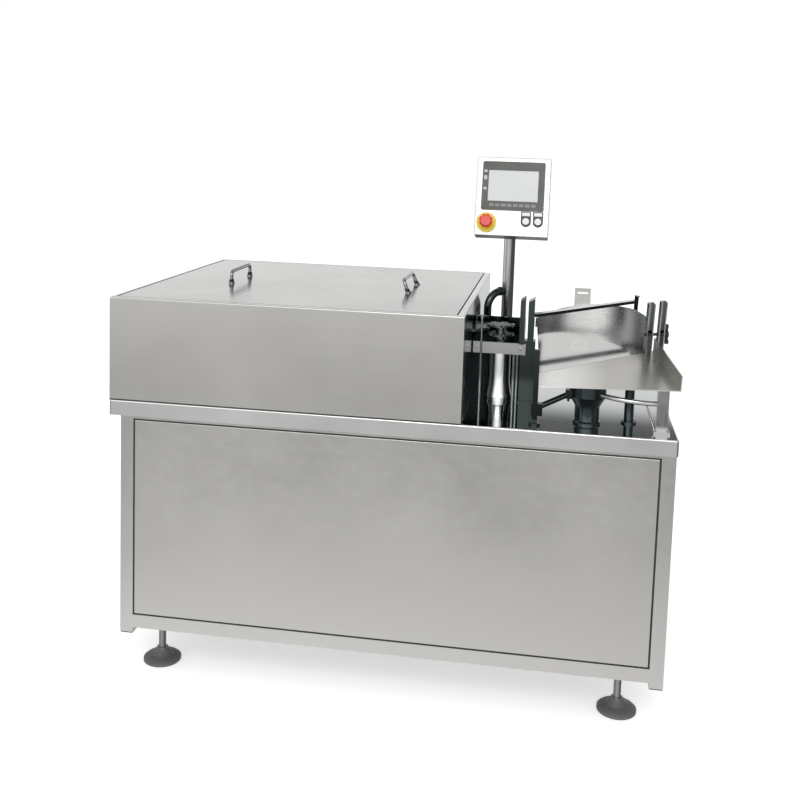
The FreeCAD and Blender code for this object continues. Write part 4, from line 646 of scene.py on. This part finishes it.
def build_world():
    """White to the camera; reflections see a room: bright front floor, lit backdrop, dark sides."""
    world = bpy.data.worlds.new("studio")
    bpy.context.scene.world = world
    world.use_nodes = True
    tree = world.node_tree
    tree.nodes.clear()
    output = add(tree, "ShaderNodeOutputWorld")
    coords = add(tree, "ShaderNodeTexCoord")
    parts = add(tree, "ShaderNodeSeparateXYZ")
    tree.links.new(coords.outputs["Generated"], parts.inputs[0])
    across, away, up = parts.outputs[0], parts.outputs[1], parts.outputs[2]
    front = brightness_by_height(tree, up, FRONT_ROOM)
    back = brightness_by_height(tree, up, BACK_ROOM)
    colour = mix_colour(tree, ramp(tree, away, -0.25, 0.25), front, back)
    sideways = math_node(tree, "ABSOLUTE", across, 0.0)
    dark_side = ramp(tree, sideways, 0.50, 0.78, 1.0, 0.16)
    open_side = math_node(tree, "ADD", ramp(tree, sideways, 0.84, 0.98, 0.0, 0.30),
                          ramp(tree, across, -0.94, -0.70, 0.55, 0.0))
    lift = ramp(tree, across, -0.40, 0.12, 0.10, -0.12)
    in_front = ramp(tree, away, -0.25, 0.25, 1.0, 0.0)
    left_lift = math_node(tree, "ADD", math_node(tree, "MULTIPLY", lift, in_front), 1.0)
    level = math_node(tree, "MULTIPLY", math_node(tree, "ADD", dark_side, open_side), left_lift)
    room = add(tree, "ShaderNodeBackground")
    tree.links.new(colour, room.inputs["Color"])
    tree.links.new(math_node(tree, "MULTIPLY", level, ROOM_PEAK), room.inputs["Strength"])
    seen = add(tree, "ShaderNodeBackground")
    seen.inputs["Color"].default_value = (1.0, 1.0, 1.0, 1.0)
    fill = add(tree, "ShaderNodeBackground")
    fill.inputs["Color"].default_value = (1.0, 1.0, 1.0, 1.0)
    fill.inputs["Strength"].default_value = 0.80
    path = add(tree, "ShaderNodeLightPath")
    soft = add(tree, "ShaderNodeMixShader")
    tree.links.new(path.outputs["Is Diffuse Ray"], soft.inputs[0])
    tree.links.new(room.outputs[0], soft.inputs[1])
    tree.links.new(fill.outputs[0], soft.inputs[2])
    mixer = add(tree, "ShaderNodeMixShader")
    tree.links.new(path.outputs["Is Camera Ray"], mixer.inputs[0])
    tree.links.new(soft.outputs[0], mixer.inputs[1])
    tree.links.new(seen.outputs[0], mixer.inputs[2])
    tree.links.new(mixer.outputs[0], output.inputs["Surface"])


def build_camera():
    lens = bpy.data.cameras.new("camera")
    lens.lens = CAMERA_LENS
    lens.sensor_width = 36.0
    lens.shift_x, lens.shift_y = CAMERA_SHIFT
    camera = bpy.data.objects.new("camera", lens)
    camera.location = CAMERA_PLACE
    camera.rotation_euler = [math.radians(a) for a in CAMERA_TURN]
    bpy.context.scene.collection.objects.link(camera)
    bpy.context.scene.camera = camera


build_floor()
build_world()
area_light("key", KEY_PLACE, KEY_TARGET, KEY_SIZE, KEY_POWER)
build_camera()
bpy.context.scene.view_settings.view_transform = "Standard"
